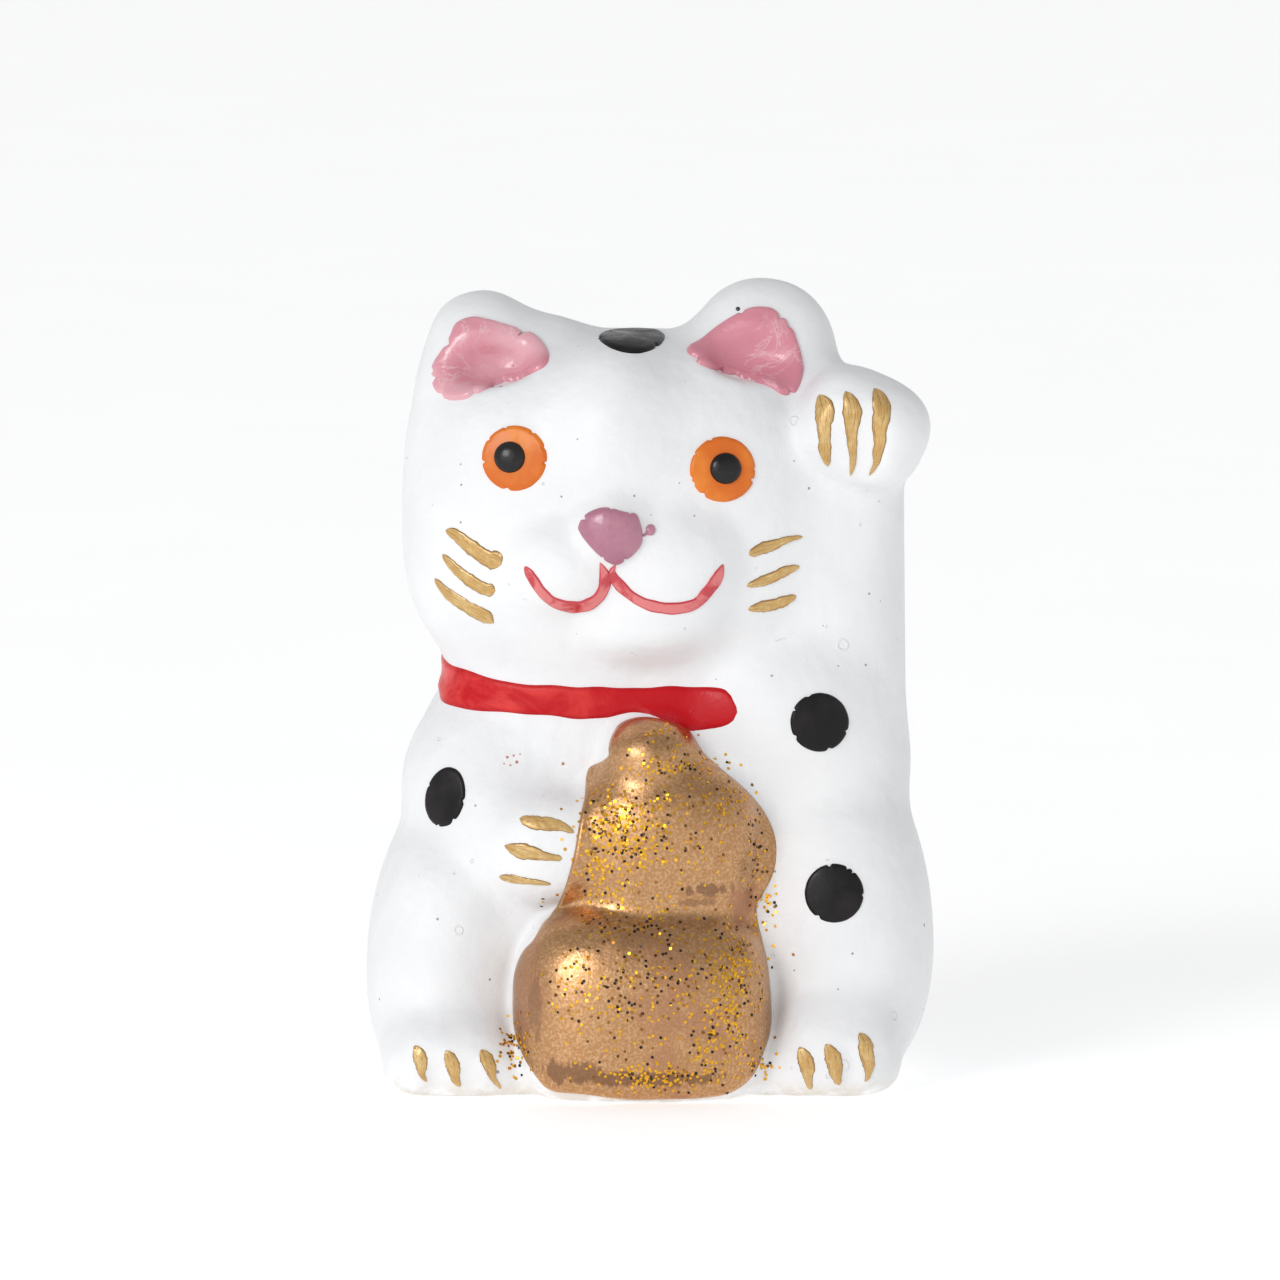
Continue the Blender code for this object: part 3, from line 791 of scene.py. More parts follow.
@dataclass(frozen=True)
class Enamel:
    """Thick glossy enamel put on by brush."""

    name: str
    main: Colour
    other: Colour
    pattern: Pattern
    gloss: float = 0.22
    metallic: float = 0.0
    wave: float = 0.05
    coat: float = 0.4
    sheen: float = 0.5

    def tint(self, bench: Bench, effects: Effects) -> bpy.types.NodeSocket:
        """Return the colour of the pattern.

        Args:
            bench: The material's bench.
            effects: The shared effects.

        Returns:
            The colour output.
        """
        if self.pattern is Pattern.WISPY:
            threads = bench.noise(330.0, 5.0, 0.6, 1.6)
            line = bench.math("ABSOLUTE", bench.math("SUBTRACT", threads, 0.5))
            wisps = bench.math("MULTIPLY", bench.ramp(line, 0.0, 0.03, 0.3, 0.0),
                               bench.ramp(bench.noise(220.0, 2.0), 0.45, 0.6))
            colour = bench.mix(bench.ramp(bench.noise(160.0, 3.0), 0.35, 0.65), self.main, self.other)
            colour = bench.mix(wisps, colour, (0.85, 0.72, 0.74))
            flecks = bench.effect(effects.dots, Scale=700.0, Radius=0.06, Share=0.1)
            return bench.mix(bench.math("MULTIPLY", flecks.outputs["Disc"], 0.6), colour, (0.2, 0.04, 0.05))
        if self.pattern is Pattern.STROKE:
            brush = bench.effect(effects.brushing, Streaks=7.0, Edge_width=0.35)
            dark = bench.math("MAXIMUM", bench.ramp(brush.outputs["Streak"], 0.48, 0.66, 0.0, 0.8),
                              bench.ramp(brush.outputs["Edge"], 0.2, 0.9, 0.0, 0.85))
            colour = bench.mix(bench.ramp(bench.noise(1500.0, 4.0, 0.7), 0.4, 0.7, 0.0, 0.6), self.main,
                               (0.80, 0.60, 0.27))
            return bench.mix(dark, colour, self.other)
        if self.pattern is Pattern.WASH:
            brush = bench.effect(effects.brushing, Streaks=5.0, Edge_width=0.5)
            clots = bench.ramp(bench.noise(700.0, 4.0, 0.6, 0.5), 0.45, 0.62)
            body = bench.math("MAXIMUM", clots, bench.ramp(brush.outputs["Edge"], 0.25, 0.75))
            return bench.mix(body, self.other, self.main)
        if self.pattern is Pattern.FADE:
            strip = bench.add("ShaderNodeSeparateXYZ", {0: bench.add("ShaderNodeTexCoord").outputs["UV"]})
            brush = bench.effect(effects.brushing, Streaks=3.0, Edge_width=0.4)
            thin = bench.math("MULTIPLY", bench.ramp(strip.outputs["X"], 0.1, 0.3),
                              bench.ramp(bench.noise(320.0, 5.0, 0.65, 0.8), 0.38, 0.62))
            colour = bench.mix(thin, self.main, self.other)
            rim = bench.ramp(brush.outputs["Edge"], 0.3, 1.0, 0.0, 0.5)
            return bench.mix(rim, colour, (0.36, 0.004, 0.01))
        return bench.mix(bench.ramp(bench.noise(400.0, 4.0), 0.35, 0.75), self.main, self.other)

    def make(self, effects: Effects) -> bpy.types.Material:
        """Build the material.

        Args:
            effects: The shared effects.

        Returns:
            The material.
        """
        material, bench, shader = start_material(
            self.name, Metallic=self.metallic, Coat_Weight=self.coat, Coat_Roughness=self.gloss * 0.4,
            Specular_IOR_Level=self.sheen)
        rough = bench.ramp(bench.noise(900.0, 3.0), 0.3, 0.7, self.gloss * 0.8, self.gloss * 1.4)
        bench.feed(shader, Base_Color=self.tint(bench, effects), Roughness=rough)
        skin = bench.effect(effects.unevenness, Wave_scale=900.0, Grain_scale=4200.0, Grain_share=0.3)
        nibs = bench.effect(effects.dots, Scale=1100.0, Radius=0.09, Share=0.1)
        relief(bench, shader, [(skin.outputs["Height"], self.wave, 0.6),
                               (nibs.outputs["Ring"], 0.015, 0.6)])
        return material


@dataclass(frozen=True)
class GourdGold:
    """Coppery gold lacquer with a foil-like grain, smudges, a dry-brushed smear and a thin painted shadow
    along the ledge between the bulbs.
    """

    gold: Colour = (0.47, 0.245, 0.105)
    pale: Colour = (0.76, 0.48, 0.27)
    stain_and_shade_brown: Colour = (0.18, 0.08, 0.035)
    rose: Colour = (0.42, 0.20, 0.11)
    # Dark patches, each with its middle's x and z, half width, half height and strength: a dry-brushed smear
    # in two parts, a patch low on the left, a dark band along the bottom, a dark wash on the left flank, and
    # a thin line of painted shade along the ledge where the lower bulb meets the neck.
    stains_and_shade: tuple[tuple[float, float, float, float, float], ...] = (
        (3.7, 13.2, 1.7, 0.5, 0.7), (3.0, 12.4, 1.3, 0.3, 0.5), (-4.9, 2.1, 2.2, 0.8, 0.75),
        (-0.5, 1.7, 5.6, 0.5, 0.8), (-7.1, 6.0, 0.5, 2.8, 0.5), (-1.0, 11.3, 4.6, 0.07, 0.45))
    bare: tuple[float, float, float, float, float] = (6.0, 12.1, 1.1, 1.5, 0.75)

    @staticmethod
    def patch(bench: Bench, place: tuple[float, float, float, float, float]) -> bpy.types.NodeSocket:
        """Return the mask of one brushed patch with a frayed edge.

        Args:
            bench: The material's bench.
            place: Its middle's x and z, its half width and half height, and its strength.

        Returns:
            The mask.
        """
        across, height, wide, tall, strength = place
        where = bench.add("ShaderNodeTexCoord").outputs["Object"]
        local = bench.add("ShaderNodeMapping", {
            "Vector": where, "Scale": (1 / (wide * MM), 0.0, 1 / (tall * MM)),
            "Location": (-across / wide, 0.0, -height / tall)}).outputs[0]
        reach = bench.add("ShaderNodeVectorMath", {0: local}, operation="LENGTH").outputs["Value"]
        hairs = bench.add("ShaderNodeMapping", {"Vector": where, "Scale": (1.0, 0.4, 0.35),
                                                "Rotation": (0.0, 0.6, 0.0)}).outputs[0]
        fray = bench.math("MULTIPLY", bench.noise(1900.0, 4.0, 0.7, 0.0, hairs), 2.4)
        return bench.ramp(bench.math("ADD", reach, fray), 1.85, 2.2, strength, 0.0)

    def make(self, effects: Effects) -> bpy.types.Material:
        """Build the material.

        Args:
            effects: The shared effects.

        Returns:
            The material.
        """
        material, bench, shader = start_material("gourd_gold_lacquer", Coat_Weight=0.15,
                                                 Coat_Roughness=0.2)
        colour = bench.mix(bench.ramp(bench.noise(5200.0, 3.0, 0.7), 0.42, 0.66, 0.0, 0.6),
                           self.gold, self.pale)
        colour = bench.mix(bench.ramp(bench.noise(180.0, 3.0), 0.52, 0.62, 0.0, 0.55), colour, self.rose)
        colour = bench.mix(self.patch(bench, self.bare), colour, self.rose)
        # Mask of the dark patches, with the painted shade along the ledge between the bulbs.
        stains_and_shade = self.patch(bench, self.stains_and_shade[0])
        for dark_patch in self.stains_and_shade[1:]:
            stains_and_shade = bench.math("MAXIMUM", stains_and_shade, self.patch(bench, dark_patch))
        colour = bench.mix(stains_and_shade, colour, self.stain_and_shade_brown)
        bench.feed(shader, Base_Color=colour,
                   Roughness=bench.ramp(bench.noise(600.0, 3.0), 0.3, 0.7, 0.27, 0.41),
                   Metallic=bench.ramp(stains_and_shade, 0.0, 0.6, 0.92, 0.55))
        foil = bench.effect(effects.unevenness, Wave_scale=1100.0, Grain_scale=6500.0, Grain_share=0.35)
        relief(bench, shader, [(foil.outputs["Height"], 0.07, 0.8)])
        return material


@dataclass(frozen=True)
class Foil:
    """Cut foil flakes, each with its own tone from black-brown to bright gold."""

    dark: Colour = (0.018, 0.008, 0.003)
    bronze: Colour = (0.40, 0.17, 0.03)
    gold: Colour = (0.80, 0.42, 0.03)

    def make(self, effects: Effects) -> bpy.types.Material:
        """Build the material.

        Args:
            effects: The shared effects.

        Returns:
            The material.
        """
        material, bench, shader = start_material("foil_flakes", Specular_IOR_Level=0.3)
        tone = bench.add("ShaderNodeAttribute", attribute_name="tone").outputs["Fac"]
        colour = bench.mix(bench.ramp(tone, 0.1, 0.35), self.dark, self.bronze)
        colour = bench.mix(bench.ramp(tone, 0.4, 0.6), colour, self.gold)
        bench.feed(shader, Base_Color=colour,
                   Roughness=bench.ramp(bench.noise(3000.0), 0.3, 0.7, 0.16, 0.3),
                   Metallic=bench.ramp(tone, 0.1, 0.5, 0.0, 0.9))
        skin = bench.effect(effects.unevenness, Wave_scale=4000.0, Grain_scale=9000.0, Grain_share=0.3)
        relief(bench, shader, [(skin.outputs["Height"], 0.01, 0.4)])
        return material


# Paint films ------------------------------------------------------------------------------


class Side(Enum):
    """The direction a drawing is laid on from: its right, its up and the way inwards."""

    FRONT = ((1.0, 0.0, 0.0), (0.0, math.sin(VIEW_TILT), math.cos(VIEW_TILT)),
             (0.0, math.cos(VIEW_TILT), -math.sin(VIEW_TILT)))
    TOP = ((1.0, 0.0, 0.0), (0.0, 1.0, 0.0), (0.0, 0.0, -1.0))
    BACK = ((-1.0, 0.0, 0.0), (0.0, 0.0, 1.0), (0.0, -1.0, 0.0))


@dataclass
class Brush:
    """Lays drawn shapes of paint on the casting as thin closed films."""

    casting: Casting
    neck: Point2 = (-1.0, 1.0)
    seed: int = 7
    away: float = 60.0
    inside: float = 48.0
    glance: float = 0.01
    tip: float = 0.07
    sunk: float = 0.06
    weld: float = 0.002
    soft_angle: float = 60.0

    def press(self, flat: np.ndarray, side: Side) -> np.ndarray:
        """Return the places where a drawing's points meet the body.

        Args:
            flat: Two drawing coordinates for each point.
            side: The direction it is laid on from.

        Returns:
            One place for each point, in millimetres.
        """
        right, up, inward = (Vector(way) for way in side.value)
        places = []
        for across, height in flat:
            start = right * across + up * height - inward * self.away
            hit = self.casting.tree.ray_cast(start * MM, inward)[0]
            if hit is None:
                hit = self.casting.tree.find_nearest((start + inward * self.inside) * MM)[0]
            places.append(np.array(hit) / MM)
        return np.array(places)

    def wrap(self, flat: np.ndarray) -> np.ndarray:
        """Return places given as degrees round the neck and heights.

        Args:
            flat: A turn and a height for each point.

        Returns:
            One place for each point, in millimetres.
        """
        places = []
        for turn, height in flat:
            angle = math.radians(turn)
            out = Vector((math.sin(angle), -math.cos(angle), 0.0))
            start = Vector((*self.neck, height)) + out * self.away
            places.append(np.array(self.casting.tree.ray_cast(start * MM, -out)[0]) / MM)
        return np.array(places)

    def sheet(self, name: str, columns: int, rows: int) -> tuple[bpy.types.Object, np.ndarray]:
        """Add a flat sheet of paint to be shaped.

        Args:
            name: Name of the piece.
            columns: Cells along it.
            rows: Cells across it.

        Returns:
            The object, and each point's share along and across.
        """
        thing = add_new(bpy.ops.mesh.primitive_grid_add, x_subdivisions=columns, y_subdivisions=rows,
                        size=1.0)
        thing.name = name
        thing.data.name = name
        return thing, points_of(thing)[:, :2] * MM + 0.5

    def stroke(self, name: str, spine: Sequence[Point3], rise: float, columns: int = 36,
               rows: int = 10) -> bpy.types.Object:
        """Lay one stroke of a loaded brush.

        Args:
            name: Name of the piece.
            spine: Places down its middle, each with half its width there.
            rise: Height of the paint.
            columns: Cells along it.
            rows: Cells across it.

        Returns:
            The film.
        """
        thing, shares = self.sheet(name, columns, rows)
        middle = along(spine, shares[:, 0])
        ahead, behind = (along(spine, np.clip(shares[:, 0] + glance, 0.0, 1.0))[:, :2]
                         for glance in (self.glance, -self.glance))
        course = ahead - behind
        course /= np.linalg.norm(course, axis=1)[:, None]
        tips = np.clip(np.minimum(shares[:, 0], 1.0 - shares[:, 0]) / self.tip, 0.0, 1.0) ** 0.5
        chance = np.random.default_rng(self.seed + len(name) + int(spine[0][0] * 10) % 97)
        shiver = sum(np.sin(shares[:, 0] * k + chance.uniform(0, ANY_ANGLE)) for k in (17, 31, 53)) / 3.0
        half = np.maximum(middle[:, 2], 0.04) * tips * (1.0 + 0.1 * shiver) + 0.004
        span = shares[:, 1] * 2.0 - 1.0
        flat = middle[:, :2] + np.column_stack([-course[:, 1], course[:, 0]]) * (half * span)[:, None]
        crown = np.sqrt(np.clip(1.0 - np.abs(span) ** 8, 0.0, 1.0)) * tips
        lumps = 1.0 + 0.25 * np.sin(span * 5.0 + shares[:, 0] * 9.0) * shiver
        return self.lay(thing, self.press(flat, Side.FRONT), rise * crown * lumps)

    def lay(self, thing: bpy.types.Object, places: np.ndarray, rise: np.ndarray) -> bpy.types.Object:
        """Turn a sheet into a closed film that grows out of the body.

        Args:
            thing: The sheet.
            places: Where its points touch the body.
            rise: Height of the paint at each point.

        Returns:
            The finished film.
        """
        way, _ = self.casting.outward(places)
        place_points(thing, places + way * rise[:, None])
        choose(thing)
        bpy.ops.object.mode_set(mode="EDIT")
        bpy.ops.mesh.select_all(action="SELECT")
        bpy.ops.mesh.remove_doubles(threshold=self.weld * MM)
        bpy.ops.mesh.normals_make_consistent(inside=False)
        bpy.ops.object.mode_set(mode="OBJECT")
        centre = thing.data.polygons[len(thing.data.polygons) // 2]
        facing, _ = self.casting.outward(np.array(centre.center)[None, :] / MM)
        if Vector(facing[0]).dot(centre.normal) < 0:
            thing.data.flip_normals()
        body = thing.modifiers.new("thickness", "SOLIDIFY")
        body.thickness = (float(rise.max()) + self.sunk) * MM
        body.offset = -1.0
        apply_all(thing)
        bpy.ops.object.shade_smooth_by_angle(angle=math.radians(self.soft_angle))
        return thing

    def dab(self, name: str, outline: Sequence[Point2], side: Side, rise: float, ragged: float = 0.02,
            dome: float = 0.12, columns: int = 72, rows: int = 14, base: float = 0.0,
            nicks: int = 0) -> bpy.types.Object:
        """Fill an outline with paint.

        Args:
            name: Name of the piece.
            outline: Corners of the smooth closed outline.
            side: The direction it is laid on from.
            rise: Height of the paint.
            ragged: Unevenness of the outline, as a share of its size.
            dome: Share of the radius over which the edge rounds off; 1 gives a dome.
            columns: Points round it.
            rows: Rings in it.
            base: Height that the dab starts from.
            nicks: Number of small bites out of its edge.

        Returns:
            The film.
        """
        thing, shares = self.sheet(name, columns, rows)
        loop = along(outline, shares[:, 0], closed=True)
        centre = along(outline, np.linspace(0, 1, 60, endpoint=False), closed=True).mean(axis=0)
        angle = shares[:, 0] * 2 * math.pi
        chance = np.random.default_rng(self.seed + len(name) + int(abs(centre[0]) * 10))
        rough = sum(np.sin(angle * k + chance.uniform(0, ANY_ANGLE)) * chance.uniform(0.3, 1.0) / k ** 0.5
                    for k in (3, 5, 8, 13, 19, 27)) / 4.0
        for turn in chance.uniform(0.0, 2 * math.pi, nicks):
            away = np.abs((angle - turn + math.pi) % (2 * math.pi) - math.pi)
            depth = chance.uniform(0.04, 0.1) / ragged
            rough -= depth * np.exp(-(away / chance.uniform(0.03, 0.08)) ** 2)
        reach = shares[:, 1] ** 0.85
        flat = centre + (loop - centre) * (reach * (1.0 + ragged * rough * reach))[:, None]
        inner = np.clip((1.0 - reach) / dome, 0.0, 1.0)
        height = base + rise * np.sqrt(1.0 - (1.0 - inner) ** 2)
        return self.lay(thing, self.press(flat, side), height)

    def ribbon(self, name: str, first: Sequence[Point2], second: Sequence[Point2], rise: float,
               columns: int, rows: int, ragged: float) -> bpy.types.Object:
        """Fill the strip round the neck between two edges with paint.

        Args:
            name: Name of the piece.
            first: Corners of one long edge.
            second: Corners of the other, from the same end.
            rise: Height of the paint.
            columns: Cells along it.
            rows: Cells across it.
            ragged: Unevenness of its long edges in millimetres.

        Returns:
            The film.
        """
        thing, shares = self.sheet(name, columns, rows)
        one, two = along(first, shares[:, 0]), along(second, shares[:, 0])
        chance = np.random.default_rng(self.seed + len(name))
        for edge, sign in ((one, 1.0), (two, -1.0)):
            wave = sum(np.sin(shares[:, 0] * k + chance.uniform(0, ANY_ANGLE))
                       for k in (23, 41, 67, 97)) / 2.0
            edge[:, 1] += wave * ragged * sign
        flat = one + (two - one) * shares[:, 1:2]
        middle = np.abs(shares[:, 1] * 2.0 - 1.0)
        ends = np.minimum(shares[:, 0], 1.0 - shares[:, 0])
        crown = np.sqrt(np.clip(1.0 - middle ** 4, 0.0, 1.0))
        return self.lay(thing, self.wrap(flat), rise * crown * np.sqrt(np.clip(ends / 0.06, 0.0, 1.0)))


def ellipse(centre: Point2, wide: float, tall: float, lean: float = 0.0) -> list[Point2]:
    """Return twelve corners of an ellipse.

    Args:
        centre: Its middle.
        wide: Half its width.
        tall: Half its height.
        lean: Degrees its top leans to the right.

    Returns:
        The corners.
    """
    lean = math.radians(lean)
    loop = []
    for k in range(12):
        angle = k * math.pi / 6
        x, y = wide * math.cos(angle), tall * math.sin(angle)
        loop.append((centre[0] + x * math.cos(lean) + y * math.sin(lean),
                     centre[1] - x * math.sin(lean) + y * math.cos(lean)))
    return loop


# Painted parts ----------------------------------------------------------------------------


@dataclass
class PaintedPart:
    """A group of painted films: it dresses each one, seats it and hides the imported pieces it stands for.
    """

    brush: Brush
    effects: Effects

    def keep(self, film: bpy.types.Object, finish: Enamel | GourdGold | Foil, slot: str,
             *nodes: str) -> None:
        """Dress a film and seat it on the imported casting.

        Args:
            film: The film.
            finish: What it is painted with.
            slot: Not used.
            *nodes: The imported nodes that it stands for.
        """
        material = bpy.data.materials.get(getattr(finish, "name", "")) or finish.make(self.effects)
        film.data.materials.clear()
        film.data.materials.append(material)
        film.data.transform(Matrix.Translation(self.brush.casting.seat))
        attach(film, "root")
        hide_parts(*nodes)
        LOG.info("%s: %d faces", film.name, len(film.data.polygons))


@dataclass
class Ears(PaintedPart):
    """Pink enamel pooled in the ear hollows."""

    pink: Enamel = Enamel("ear_pink_enamel", (0.65, 0.23, 0.29), (0.75, 0.39, 0.44), Pattern.WISPY,
                          gloss=0.2, wave=0.09)
    rise: float = 0.3
    outlines: dict[str, list[Point2]] = field(default_factory=lambda: {
        "left": [
            (-12.1, 47.2), (-11.1, 47.6), (-10.0, 47.4), (-8.4, 46.9), (-7.1, 46.4), (-6.3, 45.4),
            (-6.4, 44.5), (-7.4, 43.9), (-8.4, 43.5), (-9.5, 43.3), (-10.3, 42.9), (-11.3, 42.4),
            (-12.5, 42.3), (-13.3, 42.8), (-13.7, 43.6), (-13.6, 44.5), (-13.0, 45.5), (-12.5, 46.4)],
        "right": [
            (2.4, 45.6), (3.2, 46.1), (4.6, 47.2), (6.2, 48.1), (7.5, 48.2), (8.2, 47.8), (8.9, 47.1),
            (9.3, 46.2), (9.6, 45.1), (9.7, 44.1), (9.3, 42.9), (8.7, 42.6), (8.2, 42.7), (7.6, 43.1),
            (6.1, 43.6), (4.7, 44.0), (3.2, 44.5), (2.6, 45.0)],
    })

    def build(self) -> None:
        """Fill both hollows."""
        for side, outline in self.outlines.items():
            film = self.brush.dab(f"ear_{side}_paint", outline, Side.FRONT, self.rise, columns=200, rows=30,
                                  ragged=0.018, nicks=9)
            self.keep(film, self.pink, "pink_enamel", f"ear_lining_{side}")


@dataclass
class Eyes(PaintedPart):
    """Orange irises with domed black pupils."""

    orange: Enamel = Enamel("iris_orange_enamel", (0.67, 0.15, 0.02), (0.80, 0.24, 0.035), Pattern.FLAT,
                            gloss=0.2, sheen=0.2, coat=0.08)
    black: Enamel = Enamel("eye_black_enamel", (0.006, 0.006, 0.007), (0.02, 0.017, 0.017), Pattern.FLAT,
                           gloss=0.14, wave=0.02, coat=0.0, sheen=0.35)
    centres: dict[str, Point2] = field(default_factory=lambda: {"left": (-8.4, 38.6), "right": (4.6, 37.9)})
    iris: float = 2.05
    pupil: float = 0.97
    rise: float = 0.2
    drop: float = 0.42

    def build(self) -> None:
        """Paint both eyes."""
        for side, (across, height) in self.centres.items():
            loop = ellipse((across, height), self.iris, self.iris)
            film = self.brush.dab(f"iris_{side}_paint", loop, Side.FRONT, self.rise, ragged=0.035,
                                  columns=180, nicks=7)
            self.keep(film, self.orange, "orange_enamel", f"iris_{side}")
            nudge = -0.25 if side == "left" else 0.15
            loop = ellipse((across + nudge, height + 0.05), self.pupil, self.pupil)
            film = self.brush.dab(f"pupil_{side}_drop", loop, Side.FRONT, self.drop, ragged=0.015, dome=1.0,
                                  base=self.rise)
            self.keep(film, self.black, "black_enamel", f"pupil_{side}")


@dataclass
class Muzzle(PaintedPart):
    """The nose and the mouth's two strokes."""

    mauve: Enamel = Enamel("nose_mauve_enamel", (0.40, 0.15, 0.22), (0.50, 0.22, 0.29), Pattern.FLAT,
                           gloss=0.2, wave=0.1)
    red: Enamel = Enamel("mouth_red_enamel", (0.54, 0.035, 0.05), (0.72, 0.18, 0.18), Pattern.WASH,
                         gloss=0.16)
    nose: list[Point2] = field(default_factory=lambda: [
        (-4.4, 34.4), (-3.9, 35.1), (-2.8, 35.5), (-1.4, 35.2), (-0.8, 35.1), (-0.5, 34.4), (-0.4, 33.4),
        (-0.8, 32.7), (-1.4, 32.2), (-2.0, 31.9), (-2.6, 32.1), (-3.1, 32.5), (-3.7, 33.1), (-4.3, 33.9)])
    mouth: dict[str, list[Point3]] = field(default_factory=lambda: {
        "left": [
            (-7.75, 31.85, 0.26), (-7.2, 31.0, 0.32), (-6.6, 30.15, 0.3), (-5.8, 29.55, 0.33),
            (-4.7, 29.3, 0.36), (-3.8, 29.45, 0.36), (-3.1, 29.95, 0.36), (-2.75, 30.7, 0.38),
            (-2.8, 31.4, 0.3), (-3.05, 32.1, 0.12)],
        "right": [
            (-2.05, 32.0, 0.1), (-2.3, 31.4, 0.26), (-1.9, 30.75, 0.34), (-1.1, 30.0, 0.32),
            (-0.2, 29.5, 0.34), (0.8, 29.25, 0.36), (1.8, 29.22, 0.36), (2.9, 29.5, 0.36),
            (3.6, 30.2, 0.34), (4.2, 31.0, 0.36), (4.65, 32.0, 0.2)],
    })

    def build(self) -> None:
        """Paint the nose with its stray drop, then the mouth."""
        nose = self.brush.dab("nose_paint", self.nose, Side.FRONT, 0.28, dome=0.3, columns=140, rows=20,
                              nicks=6)
        stray = self.brush.dab("nose_drop", ellipse((0.1, 34.1), 0.3, 0.36), Side.FRONT, 0.22, dome=0.8)
        tail = self.brush.stroke("nose_flick", [(0.05, 34.0, 0.12), (-0.4, 33.7, 0.06)], 0.1)
        self.keep(join([nose, stray, tail], "nose_paint"), self.mauve, "pink_enamel", "nose")
        for side, spine in self.mouth.items():
            film = self.brush.stroke(f"mouth_{side}_paint", spine, 0.12, columns=70)
            self.keep(film, self.red, "red_enamel", f"mouth_{side}")


@dataclass
class GoldStrokes(PaintedPart):
    """Whiskers and claws, each one stroke of dull gold."""

    gold: Enamel = Enamel("ochre_gold_enamel", (0.60, 0.36, 0.11), (0.20, 0.09, 0.02), Pattern.STROKE,
                          gloss=0.24, metallic=0.25)
    rise: float = 0.09
    spines: dict[str, list[Point3]] = field(default_factory=lambda: {
        "whisker_left_upper": [
            (-12.75, 34.15, 0.2), (-12.1, 33.85, 0.35), (-11.25, 33.15, 0.45), (-10.2, 32.4, 0.5),
            (-9.65, 32.2, 0.6), (-9.25, 31.9, 0.45)],
        "whisker_left_middle": [
            (-12.95, 32.65, 0.15), (-12.2, 31.8, 0.3), (-11.3, 31.05, 0.38), (-10.4, 30.5, 0.4),
            (-9.6, 30.3, 0.4)],
        "whisker_left_lower": [
            (-13.45, 31.15, 0.1), (-12.75, 30.3, 0.3), (-11.9, 29.65, 0.38), (-11.0, 29.1, 0.4),
            (-10.2, 28.7, 0.42), (-9.7, 28.3, 0.15)],
        "whisker_right_upper": [
            (6.25, 32.55, 0.2), (7.0, 32.95, 0.36), (7.8, 33.2, 0.33), (8.7, 33.55, 0.2),
            (9.65, 33.75, 0.1)],
        "whisker_right_middle": [
            (6.1, 30.62, 0.1), (6.9, 30.87, 0.3), (7.8, 31.2, 0.33), (8.6, 31.6, 0.3), (9.45, 31.88, 0.14)],
        "whisker_right_lower": [
            (6.2, 29.15, 0.1), (6.95, 29.32, 0.33), (7.8, 29.47, 0.36), (8.5, 29.7, 0.33),
            (9.25, 30.05, 0.14)],
        "claw_raised_inner": [
            (10.65, 42.6, 0.3), (10.98, 41.7, 0.6), (10.93, 40.7, 0.5), (10.97, 39.8, 0.37),
            (11.0, 39.1, 0.4), (11.2, 38.1, 0.15)],
        "claw_raised_middle": [
            (12.25, 42.8, 0.2), (12.6, 42.0, 0.5), (12.7, 41.2, 0.6), (12.65, 40.3, 0.38),
            (12.7, 39.4, 0.3), (12.75, 38.4, 0.2), (12.6, 37.5, 0.08)],
        "claw_raised_outer": [
            (14.05, 43.0, 0.2), (14.4, 42.3, 0.5), (14.55, 41.5, 0.56), (14.4, 40.5, 0.5),
            (14.42, 39.6, 0.36), (14.27, 38.9, 0.33), (14.2, 38.3, 0.2), (13.75, 37.5, 0.06)],
        "claw_resting_upper": [
            (-8.1, 16.1, 0.2), (-7.2, 15.85, 0.43), (-6.2, 15.75, 0.42), (-5.4, 15.6, 0.3),
            (-4.65, 15.2, 0.1)],
        "claw_resting_middle": [
            (-9.05, 14.4, 0.12), (-8.1, 14.1, 0.48), (-7.3, 13.95, 0.45), (-6.5, 13.75, 0.27),
            (-5.4, 13.6, 0.18)],
        "claw_resting_lower": [
            (-9.4, 12.45, 0.1), (-8.6, 12.32, 0.27), (-7.8, 12.2, 0.2), (-7.0, 12.12, 0.17),
            (-6.1, 12.0, 0.06)],
        "claw_left_foot_outer": [
            (-14.65, 1.9, 0.12), (-14.4, 1.4, 0.4), (-14.25, 0.8, 0.42), (-14.2, 0.1, 0.2),
            (-13.9, -0.4, 0.08)],
        "claw_left_foot_middle": [
            (-12.7, 1.6, 0.12), (-12.4, 1.05, 0.42), (-12.22, 0.45, 0.42), (-12.1, -0.2, 0.28),
            (-11.8, -0.7, 0.1)],
        "claw_left_foot_inner": [
            (-10.5, 1.65, 0.15), (-10.15, 1.05, 0.42), (-9.9, 0.45, 0.36), (-9.75, -0.15, 0.2),
            (-9.25, -0.85, 0.08)],
        "claw_right_foot_inner": [
            (9.4, 1.8, 0.15), (9.7, 1.2, 0.45), (9.9, 0.6, 0.5), (9.95, -0.1, 0.3), (10.1, -0.9, 0.14)],
        "claw_right_foot_middle": [
            (11.05, 2.0, 0.15), (11.4, 1.4, 0.46), (11.6, 0.8, 0.52), (11.7, 0.1, 0.38),
            (11.9, -0.6, 0.16)],
        "claw_right_foot_outer": [
            (13.15, 2.7, 0.14), (13.5, 2.1, 0.42), (13.6, 1.4, 0.47), (13.75, 0.7, 0.38), (13.7, 0.0, 0.18),
            (13.5, -0.4, 0.06)],
    })

    def build(self) -> None:
        """Paint every stroke."""
        for name, spine in self.spines.items():
            self.keep(self.brush.stroke(f"{name}_paint", spine, self.rise), self.gold, "gold_enamel", name)


